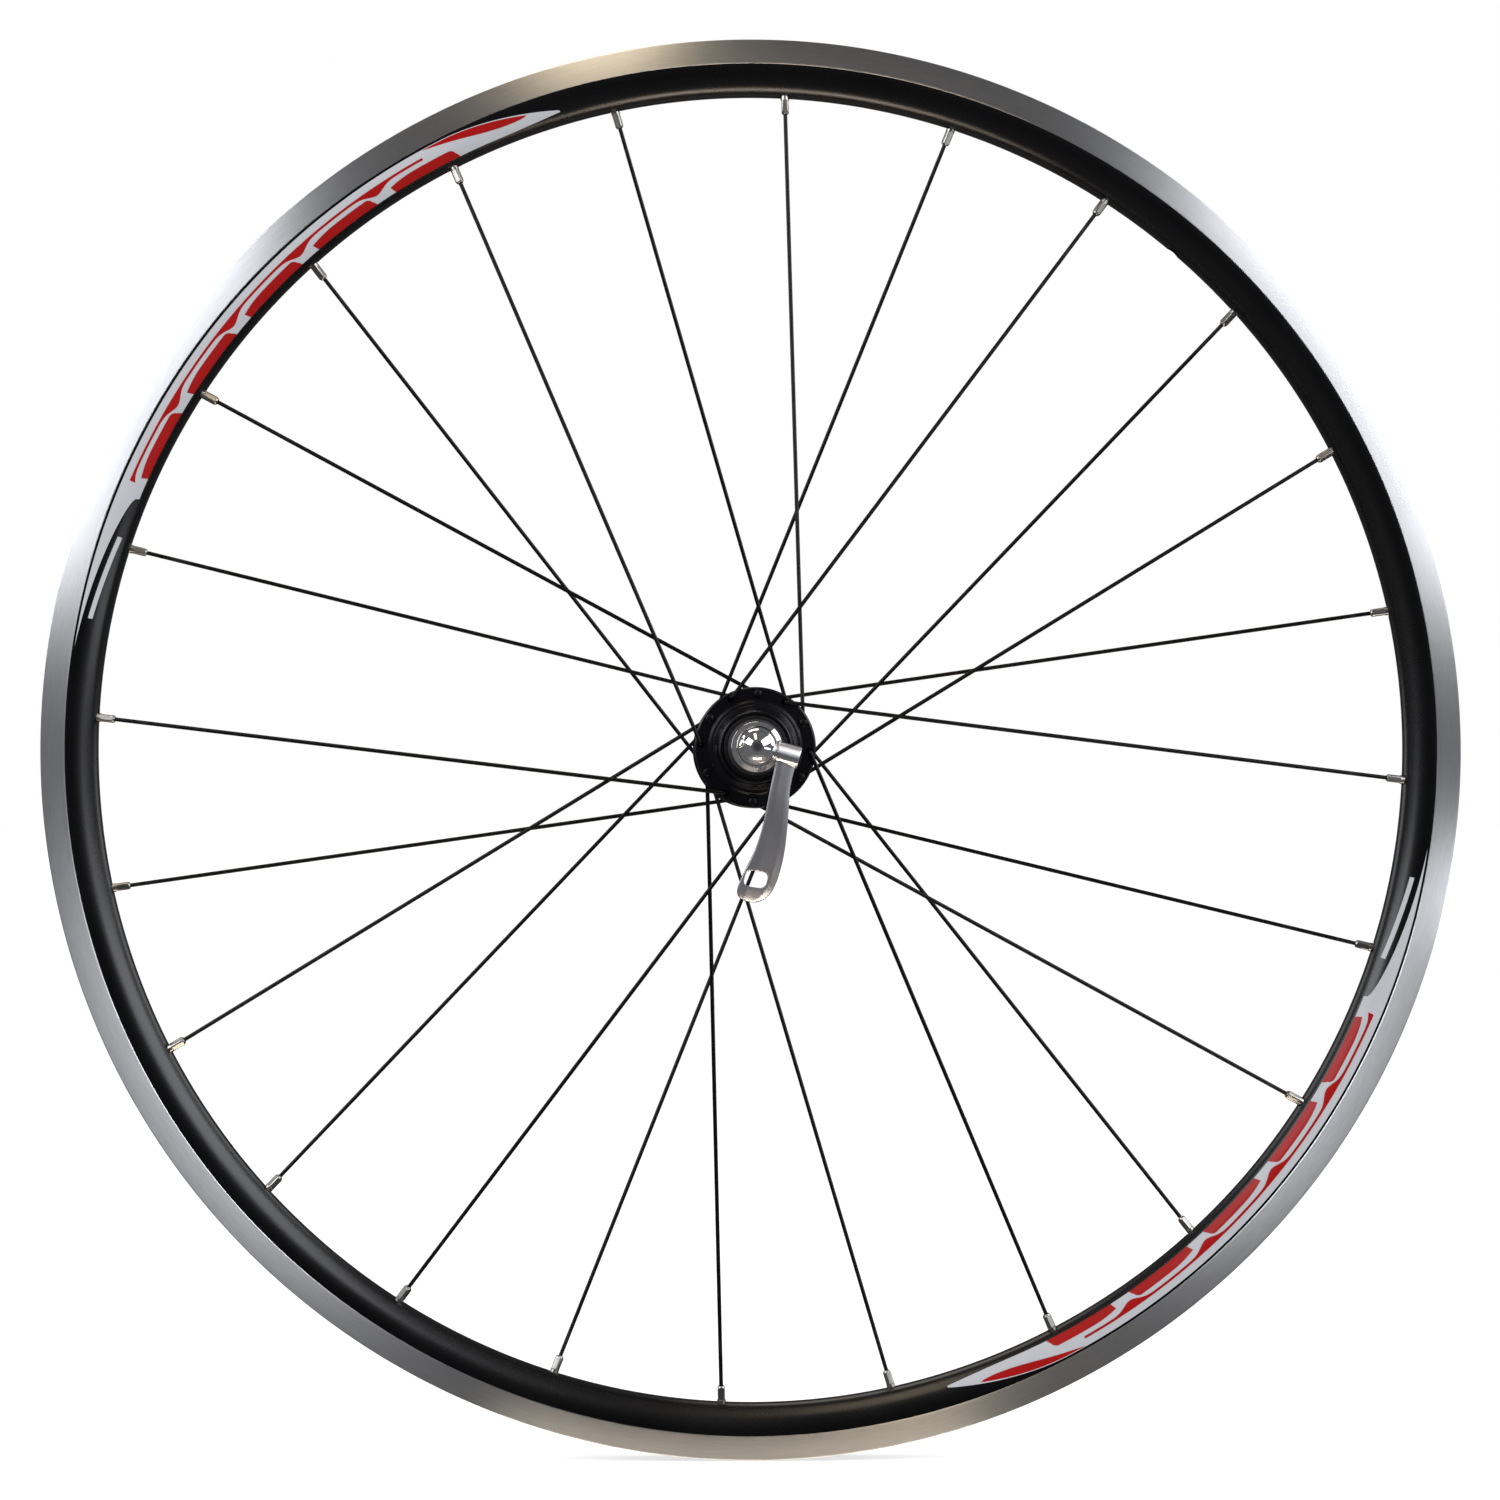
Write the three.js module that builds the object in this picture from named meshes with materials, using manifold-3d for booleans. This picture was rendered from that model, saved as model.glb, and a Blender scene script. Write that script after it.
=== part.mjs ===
// A 700C front road wheel without its tyre: a hollow clincher rim, 24 J-bend spokes in a two-cross pattern,
// a cup-and-cone hub on a hollow axle, and a quick-release skewer with a cam lever and an adjusting nut.
//
// Millimetres. The origin is the wheel's centre, +Y is the axle (the lever is on the -Y side) and +Z is up.
// A "clock angle" starts at +Z and turns towards +X, so it is the angle of LatheGeometry.

import * as THREE from 'three';
import { mergeVertices } from 'three/addons/utils/BufferGeometryUtils.js';
import Module from 'manifold-3d';

const wasm = await Module();
wasm.setup();

// ---------------------------------------------------------------- driving dimensions

const GAP = 0.3; // left between any two pieces that touch on the real wheel

const RIM = {
  outerRadius: 317, // 622 mm bead seat plus the hooks
  trackInnerRadius: 306.5,
  bedRadius: 293, // innermost radius, where the nipples come out
  halfWidth: 10,
  wellRadius: 308,
  seatRadius: 310.8,
  wall: 1.4,
  segments: 48,
};

const SPOKES = {
  count: 24,
  radius: 0.9,
  firstAngle: 2.75, // clock angle of the first nipple, in degrees
  crossAngle: 60, // from a nipple to its hole in the flange
  rimOffset: 1, // nipples sit this far to their flange's side
  headRadius: 1.8,
  headLength: 1.1,
};

const NIPPLE = { radius: 1.95, headRadius: 3, below: 9.6, above: 3.3 };

const HUB = {
  holeCircle: 23.8,
  flangeRadius: 26.8,
  flangeCentre: 35,
  flangeHalf: 1.4,
  barrelRadius: 12.6,
  holeRadius: 1.35,
  endY: 45.6,
  segments: 24,
};

const BEARING = { ballRadius: 2.38, pitchRadius: 9, centreY: 40, balls: 10, raceRadius: 2.72 };

const AXLE = { radius: 4.5, boreRadius: 2.9, halfLength: 54, overLocknuts: 100 };

const SKEWER = {
  rodRadius: 2.4,
  clampY: 56.5, // where the dropout faces of the housing and the nut stand at rest
  camY: -66,
  camRadius: 3,
  eccentricity: 1.1,
  shaftRadius: 4.4,
  camTilt: 15, // the cam's axis points this far below +X, in degrees
  rodEndY: 68,
};

const COLOURS = {
  blackRim: { color: 0x17181a, roughness: 0.35, metalness: 0.6 },
  blackHub: { color: 0x141517, roughness: 0.3, metalness: 0.6 },
  blackSpoke: { color: 0x121315, roughness: 0.35, metalness: 0.7 },
  tape: { color: 0x2d4f86, roughness: 0.6, metalness: 0 },
  steel: { color: 0xb9bcc0, roughness: 0.3, metalness: 1 },
  darkSteel: { color: 0x6c6f73, roughness: 0.35, metalness: 1 },
  chrome: { color: 0xdfe2e5, roughness: 0.08, metalness: 1 },
  forged: { color: 0xc3c6ca, roughness: 0.32, metalness: 1 },
  rubber: { color: 0x1b1b1c, roughness: 0.8, metalness: 0 },
  nylon: { color: 0x2f6fb5, roughness: 0.5, metalness: 0 },
};

// ---------------------------------------------------------------- helpers

const radians = THREE.MathUtils.degToRad;

/** The point at a clock angle in degrees, a radius from the Y axis and a height y along it. */
function polar(radius, angle, y) {
  return new THREE.Vector3(radius * Math.sin(radians(angle)), y, radius * Math.cos(radians(angle)));
}

/** Only positions, with shared corners merged, faces of no area dropped, and faces pointing out. */
function clean(geometry) {
  const bare = new THREE.BufferGeometry();
  bare.setAttribute('position', geometry.getAttribute('position'));
  if (geometry.index) bare.setIndex(geometry.index);
  const merged = mergeVertices(bare, 1e-4);
  const position = merged.getAttribute('position');
  const old = merged.index.array;
  const kept = [];
  let volume = 0;
  const [a, b, c] = [new THREE.Vector3(), new THREE.Vector3(), new THREE.Vector3()];
  for (let i = 0; i < old.length; i += 3) {
    const [p, q, r] = [old[i], old[i + 1], old[i + 2]];
    if (p === q || q === r || r === p) continue;
    kept.push(p, q, r);
    a.fromBufferAttribute(position, p);
    b.fromBufferAttribute(position, q);
    c.fromBufferAttribute(position, r);
    volume += a.dot(b.cross(c));
  }
  if (volume < 0) kept.reverse();
  merged.setIndex(kept);
  return merged;
}

/** A closed outline of [radius, y] points turned about the Y axis. */
function turned(outline, segments, startAngle = 0) {
  const points = [...outline, outline[0]].map(([r, y]) => new THREE.Vector2(r, y));
  return clean(new THREE.LatheGeometry(points, segments, radians(startAngle)));
}

/** A solid of revolution whose outline starts and ends on the Y axis. */
function turnedSolid(outline, segments) {
  const points = outline.map(([r, y]) => new THREE.Vector2(r, y));
  return clean(new THREE.LatheGeometry(points, segments));
}

/** The same outline on the other side of y = 0. */
function mirrored(outline) {
  return outline.map(([r, y]) => [r, -y]);
}

/** A cylinder from one point to another. */
function rod(from, to, radius, sides) {
  const along = to.clone().sub(from);
  const geometry = new THREE.CylinderGeometry(radius, radius, along.length(), sides);
  const turn = new THREE.Quaternion().setFromUnitVectors(new THREE.Vector3(0, 1, 0), along.normalize());
  const place = new THREE.Matrix4().compose(from.clone().add(to).multiplyScalar(0.5), turn, new THREE.Vector3(1, 1, 1));
  return clean(geometry.applyMatrix4(place));
}

/** A box between two corners. */
function block(low, high) {
  const [x, y, z] = high.map((h, i) => h - low[i]);
  const geometry = new THREE.BoxGeometry(x, y, z);
  return clean(geometry.translate(low[0] + x / 2, low[1] + y / 2, low[2] + z / 2));
}

function toSolid(geometry) {
  const vertProperties = new Float32Array(geometry.getAttribute('position').array);
  const triVerts = new Uint32Array(geometry.index.array);
  return new wasm.Manifold(new wasm.Mesh({ numProp: 3, vertProperties, triVerts }));
}

function toGeometry(solid) {
  const mesh = solid.getMesh();
  const geometry = new THREE.BufferGeometry();
  geometry.setAttribute('position', new THREE.BufferAttribute(new Float32Array(mesh.vertProperties), 3));
  geometry.setIndex(new THREE.BufferAttribute(new Uint32Array(mesh.triVerts), 1));
  return geometry;
}

/** The first geometry joined with the others. */
function joined(first, ...others) {
  return toGeometry(others.reduce((solid, other) => solid.add(toSolid(other)), toSolid(first)));
}

/** The first geometry with the others cut out of it. */
function cut(first, ...others) {
  return toGeometry(others.reduce((solid, other) => solid.subtract(toSolid(other)), toSolid(first)));
}

const wheel = new THREE.Group();

function addTo(group, name, geometry, look) {
  const mesh = new THREE.Mesh(geometry, new THREE.MeshStandardMaterial(look));
  mesh.name = name;
  group.add(mesh);
  return mesh;
}

// ---------------------------------------------------------------- lacing

/** Every spoke's nipple angle, flange side (-1 is the lever side), and whether its head is on the outer face. */
const lacing = Array.from({ length: SPOKES.count }, (_, i) => {
  const side = i % 2 === 0 ? -1 : 1;
  const pair = Math.floor(i / 2);
  const forwards = side < 0 ? pair % 2 === 0 : pair % 2 === 1;
  return {
    name: `spoke_with_nipple_${String(i + 1).padStart(2, '0')}`,
    angle: SPOKES.firstAngle + (360 / SPOKES.count) * i,
    side,
    headOutside: forwards,
    holeAngle: SPOKES.firstAngle + (360 / SPOKES.count) * i + (forwards ? 1 : -1) * SPOKES.crossAngle,
  };
});

// ---------------------------------------------------------------- rim

function rimOutline() {
  const { outerRadius, trackInnerRadius, bedRadius, halfWidth, wellRadius, seatRadius, wall } = RIM;
  const half = [
    [wellRadius, 4.8],
    [seatRadius, 6.6],
    [seatRadius, halfWidth - wall],
    [outerRadius - 2, halfWidth - wall],
    [outerRadius, halfWidth - wall - 1.1],
    [outerRadius, halfWidth],
    [trackInnerRadius, halfWidth],
    [bedRadius + 7.5, halfWidth - 1.5],
    [bedRadius + 3, halfWidth - 3.9],
    [bedRadius, halfWidth - 6.8],
  ];
  return [...half, ...mirrored(half).reverse()];
}

function rimHollow() {
  const { trackInnerRadius, bedRadius, halfWidth, wall } = RIM;
  const half = [
    [trackInnerRadius, halfWidth - wall - 0.4],
    [bedRadius + 7.2, halfWidth - wall - 1.3],
    [bedRadius + wall + 0.4, halfWidth - wall - 4.9],
  ];
  return [...half, ...mirrored(half).reverse()];
}

// The facets are turned so that each nipple stands in the middle of one.
const rimStart = SPOKES.firstAngle + 180 / RIM.segments;
const valveAngle = SPOKES.firstAngle + 37.5;

function makeRim() {
  const radialRod = (angle, y, from, to, radius, sides) =>
    rod(polar(from, angle, y), polar(to, angle, y), radius, sides);
  const holes = lacing.flatMap(({ angle, side }) => [
    radialRod(angle, side * SPOKES.rimOffset, RIM.bedRadius - 3, RIM.bedRadius + 6, NIPPLE.radius + 0.6, 6),
    radialRod(angle, side * SPOKES.rimOffset, RIM.trackInnerRadius - 4, RIM.wellRadius + 3, 3.6, 6),
  ]);
  holes.push(radialRod(valveAngle, 0, RIM.bedRadius - 3, RIM.wellRadius + 3, 3.25, 8));
  const skin = turned(rimOutline(), RIM.segments, rimStart);
  return cut(skin, turned(rimHollow(), RIM.segments, rimStart), ...holes);
}

addTo(wheel, 'rim', makeRim(), COLOURS.blackRim);

function makeRimTape() {
  const bottom = RIM.wellRadius + GAP;
  const outline = [[bottom, -4], [bottom, 4], [bottom + 0.6, 4], [bottom + 0.6, -4]];
  const valveHole = rod(polar(bottom - 3, valveAngle, 0), polar(bottom + 3, valveAngle, 0), 3.25, 8);
  return cut(turned(outline, RIM.segments, rimStart), valveHole);
}

addTo(wheel, 'rim_tape', makeRimTape(), COLOURS.tape);

/** The block inside the hollow that holds the rim's two ends together, opposite the valve hole. */
function makeJointSleeve() {
  const top = RIM.trackInnerRadius - 1;
  const outline = [[top - 5, -6.4], [top - 5, 6.4], [top, 6.4], [top, -6.4]];
  const ring = turned(outline, RIM.segments, rimStart);
  const middle = polar(top, valveAngle + 180, 0);
  const window = block([-16, -8, -16], [16, 8, 16]).translate(middle.x, 0, middle.z);
  return toGeometry(toSolid(ring).intersect(toSolid(window)));
}

addTo(wheel, 'rim_joint_sleeve', makeJointSleeve(), COLOURS.steel);

// ---------------------------------------------------------------- hub shell

function makeHubShell() {
  const { flangeRadius, flangeCentre, flangeHalf, barrelRadius, endY } = HUB;
  const inner = flangeCentre - flangeHalf;
  const outer = flangeCentre + flangeHalf;
  const half = [
    [barrelRadius, 12],
    [14.4, inner - 6],
    [19.6, inner],
    [flangeRadius, inner + 0.5],
    [flangeRadius, outer - 0.5],
    [20.3, outer],
    [20.3, outer + 1.4],
    [17, outer + 3.6],
    [15.6, endY],
    [14.4, endY],
    [14.4, endY - 1.7],
    [13.6, endY - 1.7],
    [13.6, 35.6],
    [9.2, 35.6],
  ];
  const walls = [...half, ...mirrored(half).reverse()];
  const holes = lacing.map(({ side, holeAngle }) => {
    const from = polar(HUB.holeCircle, holeAngle, side * (inner - 2));
    const to = polar(HUB.holeCircle, holeAngle, side * (outer + 2));
    return rod(from, to, HUB.holeRadius, 6);
  });
  return cut(turned(walls, HUB.segments, SPOKES.firstAngle + 180 / HUB.segments), ...holes);
}

addTo(wheel, 'hub_shell', makeHubShell(), COLOURS.blackHub);

// ---------------------------------------------------------------- spokes

/** One spoke and its nipple: both lie on the line from the nipple's seat in the rim to the elbow at the flange. */
function makeSpoke({ angle, side, headOutside, holeAngle }) {
  const wire = SPOKES.radius;
  const seat = polar(RIM.bedRadius + 2.2, angle, side * SPOKES.rimOffset);
  const outerFace = HUB.flangeCentre + HUB.flangeHalf;
  const innerFace = HUB.flangeCentre - HUB.flangeHalf;
  const elbowY = headOutside ? innerFace - wire - GAP : outerFace + wire + GAP + 0.4;
  const headY = headOutside ? outerFace + GAP : innerFace - GAP;
  const outwards = headOutside ? 1 : -1;
  const elbow = polar(HUB.holeCircle, holeAngle, side * elbowY);
  const headBase = polar(HUB.holeCircle, holeAngle, side * headY);
  const headTop = polar(HUB.holeCircle, holeAngle, side * (headY + outwards * SPOKES.headLength));

  const along = seat.clone().sub(elbow).normalize();
  const length = seat.distanceTo(elbow);
  const { radius, headRadius, below, above } = NIPPLE;
  const shank = turnedSolid([
    [0, 0],
    [wire, 0],
    [wire, length - below],
    [radius, length - below + 1],
    [radius, length],
    [headRadius, length + 0.9],
    [headRadius, length + above],
    [0, length + above],
  ], 6);
  const turn = new THREE.Quaternion().setFromUnitVectors(new THREE.Vector3(0, 1, 0), along);
  shank.applyMatrix4(new THREE.Matrix4().compose(elbow, turn, new THREE.Vector3(1, 1, 1)));

  const neck = rod(elbow, headTop, wire, 6);
  const head = rod(headBase, headTop, SPOKES.headRadius, 6);
  return joined(shank, neck, head);
}

for (const spoke of lacing) {
  addTo(wheel, spoke.name, makeSpoke(spoke), COLOURS.blackSpoke);
}

// ---------------------------------------------------------------- bearings, the same on both sides

/** Points of the ball race's arc, from one angle to another about the ball's centre. */
function raceArc(fromAngle, toAngle, steps) {
  const { pitchRadius, centreY, raceRadius } = BEARING;
  return Array.from({ length: steps + 1 }, (_, i) => {
    const turn = radians(fromAngle + ((toAngle - fromAngle) * i) / steps);
    return [pitchRadius + raceRadius * Math.cos(turn), centreY + raceRadius * Math.sin(turn)];
  });
}

const CUP = [[13.3, 35.9], [13.3, 43.6], [12.4, 43.6], ...raceArc(0, -90, 2), [7.8, 37.28], [7.8, 35.9]];
const CONE = [[4.8, 38.4], [6, 38.4], ...raceArc(180, 112, 2), [8.2, 43.2], [7.6, 44.6], [4.8, 44.6]];
const DUST_CAP = [[8.9, 44.3], [14.1, 44.3], [14.1, 45.2], [8.9, 45.7]];
const LOCK_WASHER = [[4.8, 44.9], [7.4, 44.9], [7.4, 45.9], [4.8, 45.9]];
const AXLE_SEAL = [[9.1, 46.3], [12.4, 46.3], [11.6, 48], [9.1, 48.6]];

function makeBallSet(sideY) {
  const { ballRadius, pitchRadius, centreY, balls } = BEARING;
  const cageY = sideY * (centreY + 0.9);
  const cage = turned([
    [pitchRadius - 0.5, cageY - 0.5],
    [pitchRadius + 0.7, cageY - 0.5],
    [pitchRadius + 0.7, cageY + 0.5],
    [pitchRadius - 0.5, cageY + 0.5],
  ], 10);
  const spheres = Array.from({ length: balls }, (_, i) => {
    const centre = polar(pitchRadius, (360 / balls) * i, sideY * centreY);
    return clean(new THREE.SphereGeometry(ballRadius, 6, 4)).translate(centre.x, centre.y, centre.z);
  });
  return joined(cage, ...spheres);
}

/** A hexagonal nut with a round hole and a flat outer face. */
function makeLocknut(sideY) {
  const faceY = AXLE.overLocknuts / 2;
  const outline = (r, height) => turnedSolid([[0, faceY - height], [r, faceY - height], [r, faceY], [0, faceY]].map(
    ([x, y]) => [x, sideY * y]), 6);
  const bore = rod(new THREE.Vector3(0, sideY * (faceY - 6), 0), new THREE.Vector3(0, sideY * (faceY + 2), 0),
    AXLE.radius + GAP, 20);
  return cut(outline(8.6, 3.8), bore);
}

for (const [side, sideY] of [['left', -1], ['right', 1]]) {
  const onSide = (outline) => (sideY > 0 ? outline : mirrored(outline));
  addTo(wheel, `${side}_bearing_cup`, turned(onSide(CUP), 20), COLOURS.steel);
  addTo(wheel, `${side}_ball_set`, makeBallSet(sideY), COLOURS.chrome);
  addTo(wheel, `${side}_cone`, turned(onSide(CONE), 20), COLOURS.steel);
  addTo(wheel, `${side}_dust_cap`, turned(onSide(DUST_CAP), 20), COLOURS.blackHub);
  addTo(wheel, `${side}_lock_washer`, turned(onSide(LOCK_WASHER), 16), COLOURS.steel);
  addTo(wheel, `${side}_locknut`, makeLocknut(sideY), COLOURS.darkSteel);
  addTo(wheel, `${side}_axle_seal`, turned(onSide(AXLE_SEAL), 20), COLOURS.rubber);
}

const { radius: axleRadius, boreRadius, halfLength } = AXLE;
addTo(wheel, 'hub_axle', turned([
  [boreRadius, -halfLength],
  [axleRadius, -halfLength],
  [axleRadius, halfLength],
  [boreRadius, halfLength],
], 20), COLOURS.darkSteel);

// ---------------------------------------------------------------- quick-release skewer
// The cam's parts are drawn with the cam's axis along X, and the whole skewer then turns about the axle.

const skewer = new THREE.Group();
skewer.rotation.y = radians(SKEWER.camTilt);
wheel.add(skewer);

const camCentreY = SKEWER.camY - SKEWER.eccentricity;
const EYE = { halfThickness: 2.3, halfHeight: 6.1, reach: 5.6 };

/** The rod with the flat eye that goes round the cam. The eye's hole is wider across than the cam's throw. */
function makeSkewerRod() {
  const { rodRadius, camRadius, rodEndY } = SKEWER;
  const shaft = rod(new THREE.Vector3(0, camCentreY + 4.4, 0), new THREE.Vector3(0, rodEndY, 0), rodRadius, 12);
  const ellipse = (radiusY, radiusZ, halfX, sides) => {
    const disc = rod(new THREE.Vector3(-halfX, 0, 0), new THREE.Vector3(halfX, 0, 0), 1, sides);
    return disc.scale(1, radiusY, radiusZ).translate(0, camCentreY, 0);
  };
  const eye = ellipse(EYE.reach, EYE.halfHeight, EYE.halfThickness, 16);
  const hole = ellipse(camRadius + 0.5, camRadius + 1.5, EYE.halfThickness + 1, 16);
  return cut(joined(shaft, eye), hole);
}

addTo(skewer, 'skewer_rod', makeSkewerRod(), COLOURS.steel);

/** The cap that the lever's shaft turns in. It is hollow from its dropout face for the rod's eye and the spring. */
function makeCamHousing() {
  const { clampY, camY, shaftRadius } = SKEWER;
  const faceY = -clampY - 1.8;
  const body = turnedSolid([
    [0, faceY],
    [11, faceY],
    [11, faceY - 2.2],
    [10.4, faceY - 3],
    [8.8, faceY - 3.6],
    [8.6, camY - 6],
    [7.6, camY - 8.4],
    [5, camY - 10.2],
    [0, camY - 10.9],
  ], 28);
  const springSeat = rod(new THREE.Vector3(0, faceY - 1.8, 0), new THREE.Vector3(0, faceY + 1, 0), 7, 20);
  const slot = block(
    [-EYE.halfThickness - 0.4, camCentreY - EYE.reach - 0.5, -EYE.halfHeight - GAP],
    [EYE.halfThickness + 0.4, faceY + 1, EYE.halfHeight + GAP],
  );
  const shaftBore = rod(new THREE.Vector3(0, camY, 0), new THREE.Vector3(14, camY, 0), shaftRadius + 0.4, 20);
  const tailBore = rod(new THREE.Vector3(-6.6, camY, 0), new THREE.Vector3(0, camY, 0), 2.2, 12);
  return cut(body, springSeat, slot, shaftBore, tailBore);
}

addTo(skewer, 'cam_housing', makeCamHousing(), COLOURS.chrome);

/** A ring with shallow teeth on the face that grips a dropout; toothY is +1 when that face looks towards +Y. */
function makeClampRing(faceY, toothY) {
  const backY = faceY - toothY * 1.5;
  const body = turned([[7.3, faceY], [10.8, faceY], [10.8, backY], [7.3, backY]], 24);
  const grooves = Array.from({ length: 6 }, (_, i) => {
    const from = polar(7, 60 * i + 22.5, faceY);
    const to = polar(12, 60 * i + 22.5, faceY);
    return rod(from, to, 0.3, 4);
  });
  return cut(body, ...grooves);
}

addTo(skewer, 'lever_clamp_ring', makeClampRing(-SKEWER.clampY, 1), COLOURS.darkSteel);

// The arm's centreline from the head to the tip, with its width and thickness there.
const ARM = [
  { at: [13.4, -66, -2], width: 8.4, thickness: 6.4 },
  { at: [13.9, -66, -9.6], width: 8.6, thickness: 5.6 },
  { at: [15.2, -64.6, -20.5], width: 9.3, thickness: 5 },
  { at: [16.6, -61.8, -31.2], width: 10.8, thickness: 4.6 },
  { at: [17.3, -58, -42], width: 12.6, thickness: 4.2 },
  { at: [16.5, -54, -52], width: 14.6, thickness: 3.8 },
  { at: [15.4, -51.4, -60], width: 14.6, thickness: 3.4 },
  { at: [14.4, -50.2, -65.4], width: 9.6, thickness: 2.8 },
];
const WINDOW = { centre: [14.7, -55.4], width: 9.6, height: 7 };

/** An eight-cornered section across the arm, square to its centreline. */
function armSection(station, before, after) {
  const [x, y, z] = station.at;
  const slope = Math.atan2(after.at[1] - before.at[1], before.at[2] - after.at[2]);
  const [w, t] = [station.width / 2, station.thickness / 2];
  const corners = [[1, 0.35], [0.75, 1], [-0.75, 1], [-1, 0.35], [-1, -0.35], [-0.75, -1], [0.75, -1], [1, -0.35]];
  return corners.map(([u, v]) => new THREE.Vector3(x + u * w, y - v * t * Math.cos(slope), z - v * t * Math.sin(slope)));
}

/** A closed skin over rings that all have the same number of corners. */
function lofted(rings) {
  const corners = rings[0].length;
  const positions = rings.flat().flatMap((p) => [p.x, p.y, p.z]);
  const faces = [];
  for (let ring = 0; ring + 1 < rings.length; ring++) {
    for (let i = 0; i < corners; i++) {
      const [a, b] = [ring * corners + i, ring * corners + ((i + 1) % corners)];
      faces.push(a, b, b + corners, a, b + corners, a + corners);
    }
  }
  const last = (rings.length - 1) * corners;
  for (let i = 1; i + 1 < corners; i++) {
    faces.push(0, i + 1, i, last, last + i, last + i + 1);
  }
  const geometry = new THREE.BufferGeometry();
  geometry.setAttribute('position', new THREE.Float32BufferAttribute(positions, 3));
  geometry.setIndex(faces);
  return clean(geometry);
}

function makeCamLever() {
  const { camY, camRadius, shaftRadius } = SKEWER;
  const alongX = (from, to, y, radius, sides) =>
    rod(new THREE.Vector3(from, y, 0), new THREE.Vector3(to, y, 0), radius, sides);
  const cam = alongX(-EYE.halfThickness - 0.4, EYE.halfThickness + 1, camCentreY, camRadius, 16);
  const tail = alongX(-6, 0, camY, 1.8, 12);
  const shaft = alongX(EYE.halfThickness + 0.7, 18.6, camY, shaftRadius, 20);
  const arm = lofted(ARM.map((station, i) => armSection(station, ARM[i - 1] ?? station, ARM[i + 1] ?? station)));

  const [w, h] = [WINDOW.width / 2, WINDOW.height / 2];
  const outline = new THREE.Shape();
  outline.absellipse(0, 0, w, h, 0, Math.PI * 2);
  const window = clean(new THREE.ExtrudeGeometry(outline, { depth: 30, bevelEnabled: false, curveSegments: 8 }));
  window.rotateX(Math.PI / 2).translate(WINDOW.centre[0], -38, WINDOW.centre[1]);
  return cut(joined(shaft, cam, tail, arm), window);
}

addTo(skewer, 'cam_lever', makeCamLever(), COLOURS.forged);

// ---------------------------------------------------------------- springs

/** A conical spring round the rod, narrow against the axle's end and wide in the clamp piece's seat. */
class ConicalHelix extends THREE.Curve {
  constructor(sideY) {
    super();
    this.sideY = sideY;
  }
  getPoint(t, target = new THREE.Vector3()) {
    const turns = 3;
    const radius = THREE.MathUtils.lerp(3.4, 6.2, t);
    const y = this.sideY * THREE.MathUtils.lerp(54.9, 59.2, t);
    return target.set(radius * Math.sin(2 * Math.PI * turns * t), y, radius * Math.cos(2 * Math.PI * turns * t));
  }
}

function makeSpring(sideY) {
  const wire = new THREE.Shape();
  wire.absarc(0, 0, 0.4, 0, Math.PI * 2);
  const settings = { steps: 30, extrudePath: new ConicalHelix(sideY), curveSegments: 3, bevelEnabled: false };
  return clean(new THREE.ExtrudeGeometry(wire, settings));
}

addTo(skewer, 'left_spring', makeSpring(-1), COLOURS.steel);
addTo(skewer, 'right_spring', makeSpring(1), COLOURS.steel);

// ---------------------------------------------------------------- adjusting nut

addTo(skewer, 'nut_clamp_ring', makeClampRing(SKEWER.clampY, -1), COLOURS.darkSteel);

const nutBaseY = SKEWER.clampY + 1.8;
const NUT = [
  [SKEWER.rodRadius + 0.35, nutBaseY + 2],
  [7, nutBaseY + 2],
  [7, nutBaseY],
  [10.8, nutBaseY],
  [10.8, nutBaseY + 2.2],
  [8.2, nutBaseY + 4],
  [7.2, nutBaseY + 11],
  [6, nutBaseY + 12.2],
  [4.5, nutBaseY + 12.2],
  [4.5, nutBaseY + 7.4],
  [SKEWER.rodRadius + 0.35, nutBaseY + 7.4],
];
addTo(skewer, 'adjusting_nut', turned(NUT, 20), COLOURS.chrome);

const INSERT = [[2.75, nutBaseY + 7.8], [4.15, nutBaseY + 7.8], [4.15, nutBaseY + 10.4], [2.75, nutBaseY + 10.4]];
addTo(skewer, 'nut_lock_insert', turned(INSERT, 16), COLOURS.nylon);

export default wheel;
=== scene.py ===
"""A bicycle front wheel with a quick-release skewer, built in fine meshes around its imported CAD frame.

Outlines are in millimetres in the part's frame: +Y is the axle, the lever is on the -Y side and +Z is up.
A clock angle starts at +Z and turns towards +X.
"""

import math

import bmesh
import bpy
import numpy as np
from mathutils import Matrix, Vector


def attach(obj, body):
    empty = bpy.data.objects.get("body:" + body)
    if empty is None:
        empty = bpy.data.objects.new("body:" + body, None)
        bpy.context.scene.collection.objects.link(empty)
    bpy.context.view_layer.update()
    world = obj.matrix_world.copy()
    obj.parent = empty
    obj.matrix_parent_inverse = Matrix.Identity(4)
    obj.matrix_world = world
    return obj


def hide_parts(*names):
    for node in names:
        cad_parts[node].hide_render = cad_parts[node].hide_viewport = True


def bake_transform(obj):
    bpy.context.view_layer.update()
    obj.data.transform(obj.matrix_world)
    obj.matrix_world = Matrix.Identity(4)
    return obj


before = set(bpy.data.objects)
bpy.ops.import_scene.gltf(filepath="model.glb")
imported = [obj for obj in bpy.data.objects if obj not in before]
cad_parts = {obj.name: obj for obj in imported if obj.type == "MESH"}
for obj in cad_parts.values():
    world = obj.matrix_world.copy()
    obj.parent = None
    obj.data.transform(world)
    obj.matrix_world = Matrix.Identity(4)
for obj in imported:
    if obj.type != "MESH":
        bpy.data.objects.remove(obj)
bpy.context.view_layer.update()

MM = 0.001


# ---- sizes read from the frame


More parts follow.
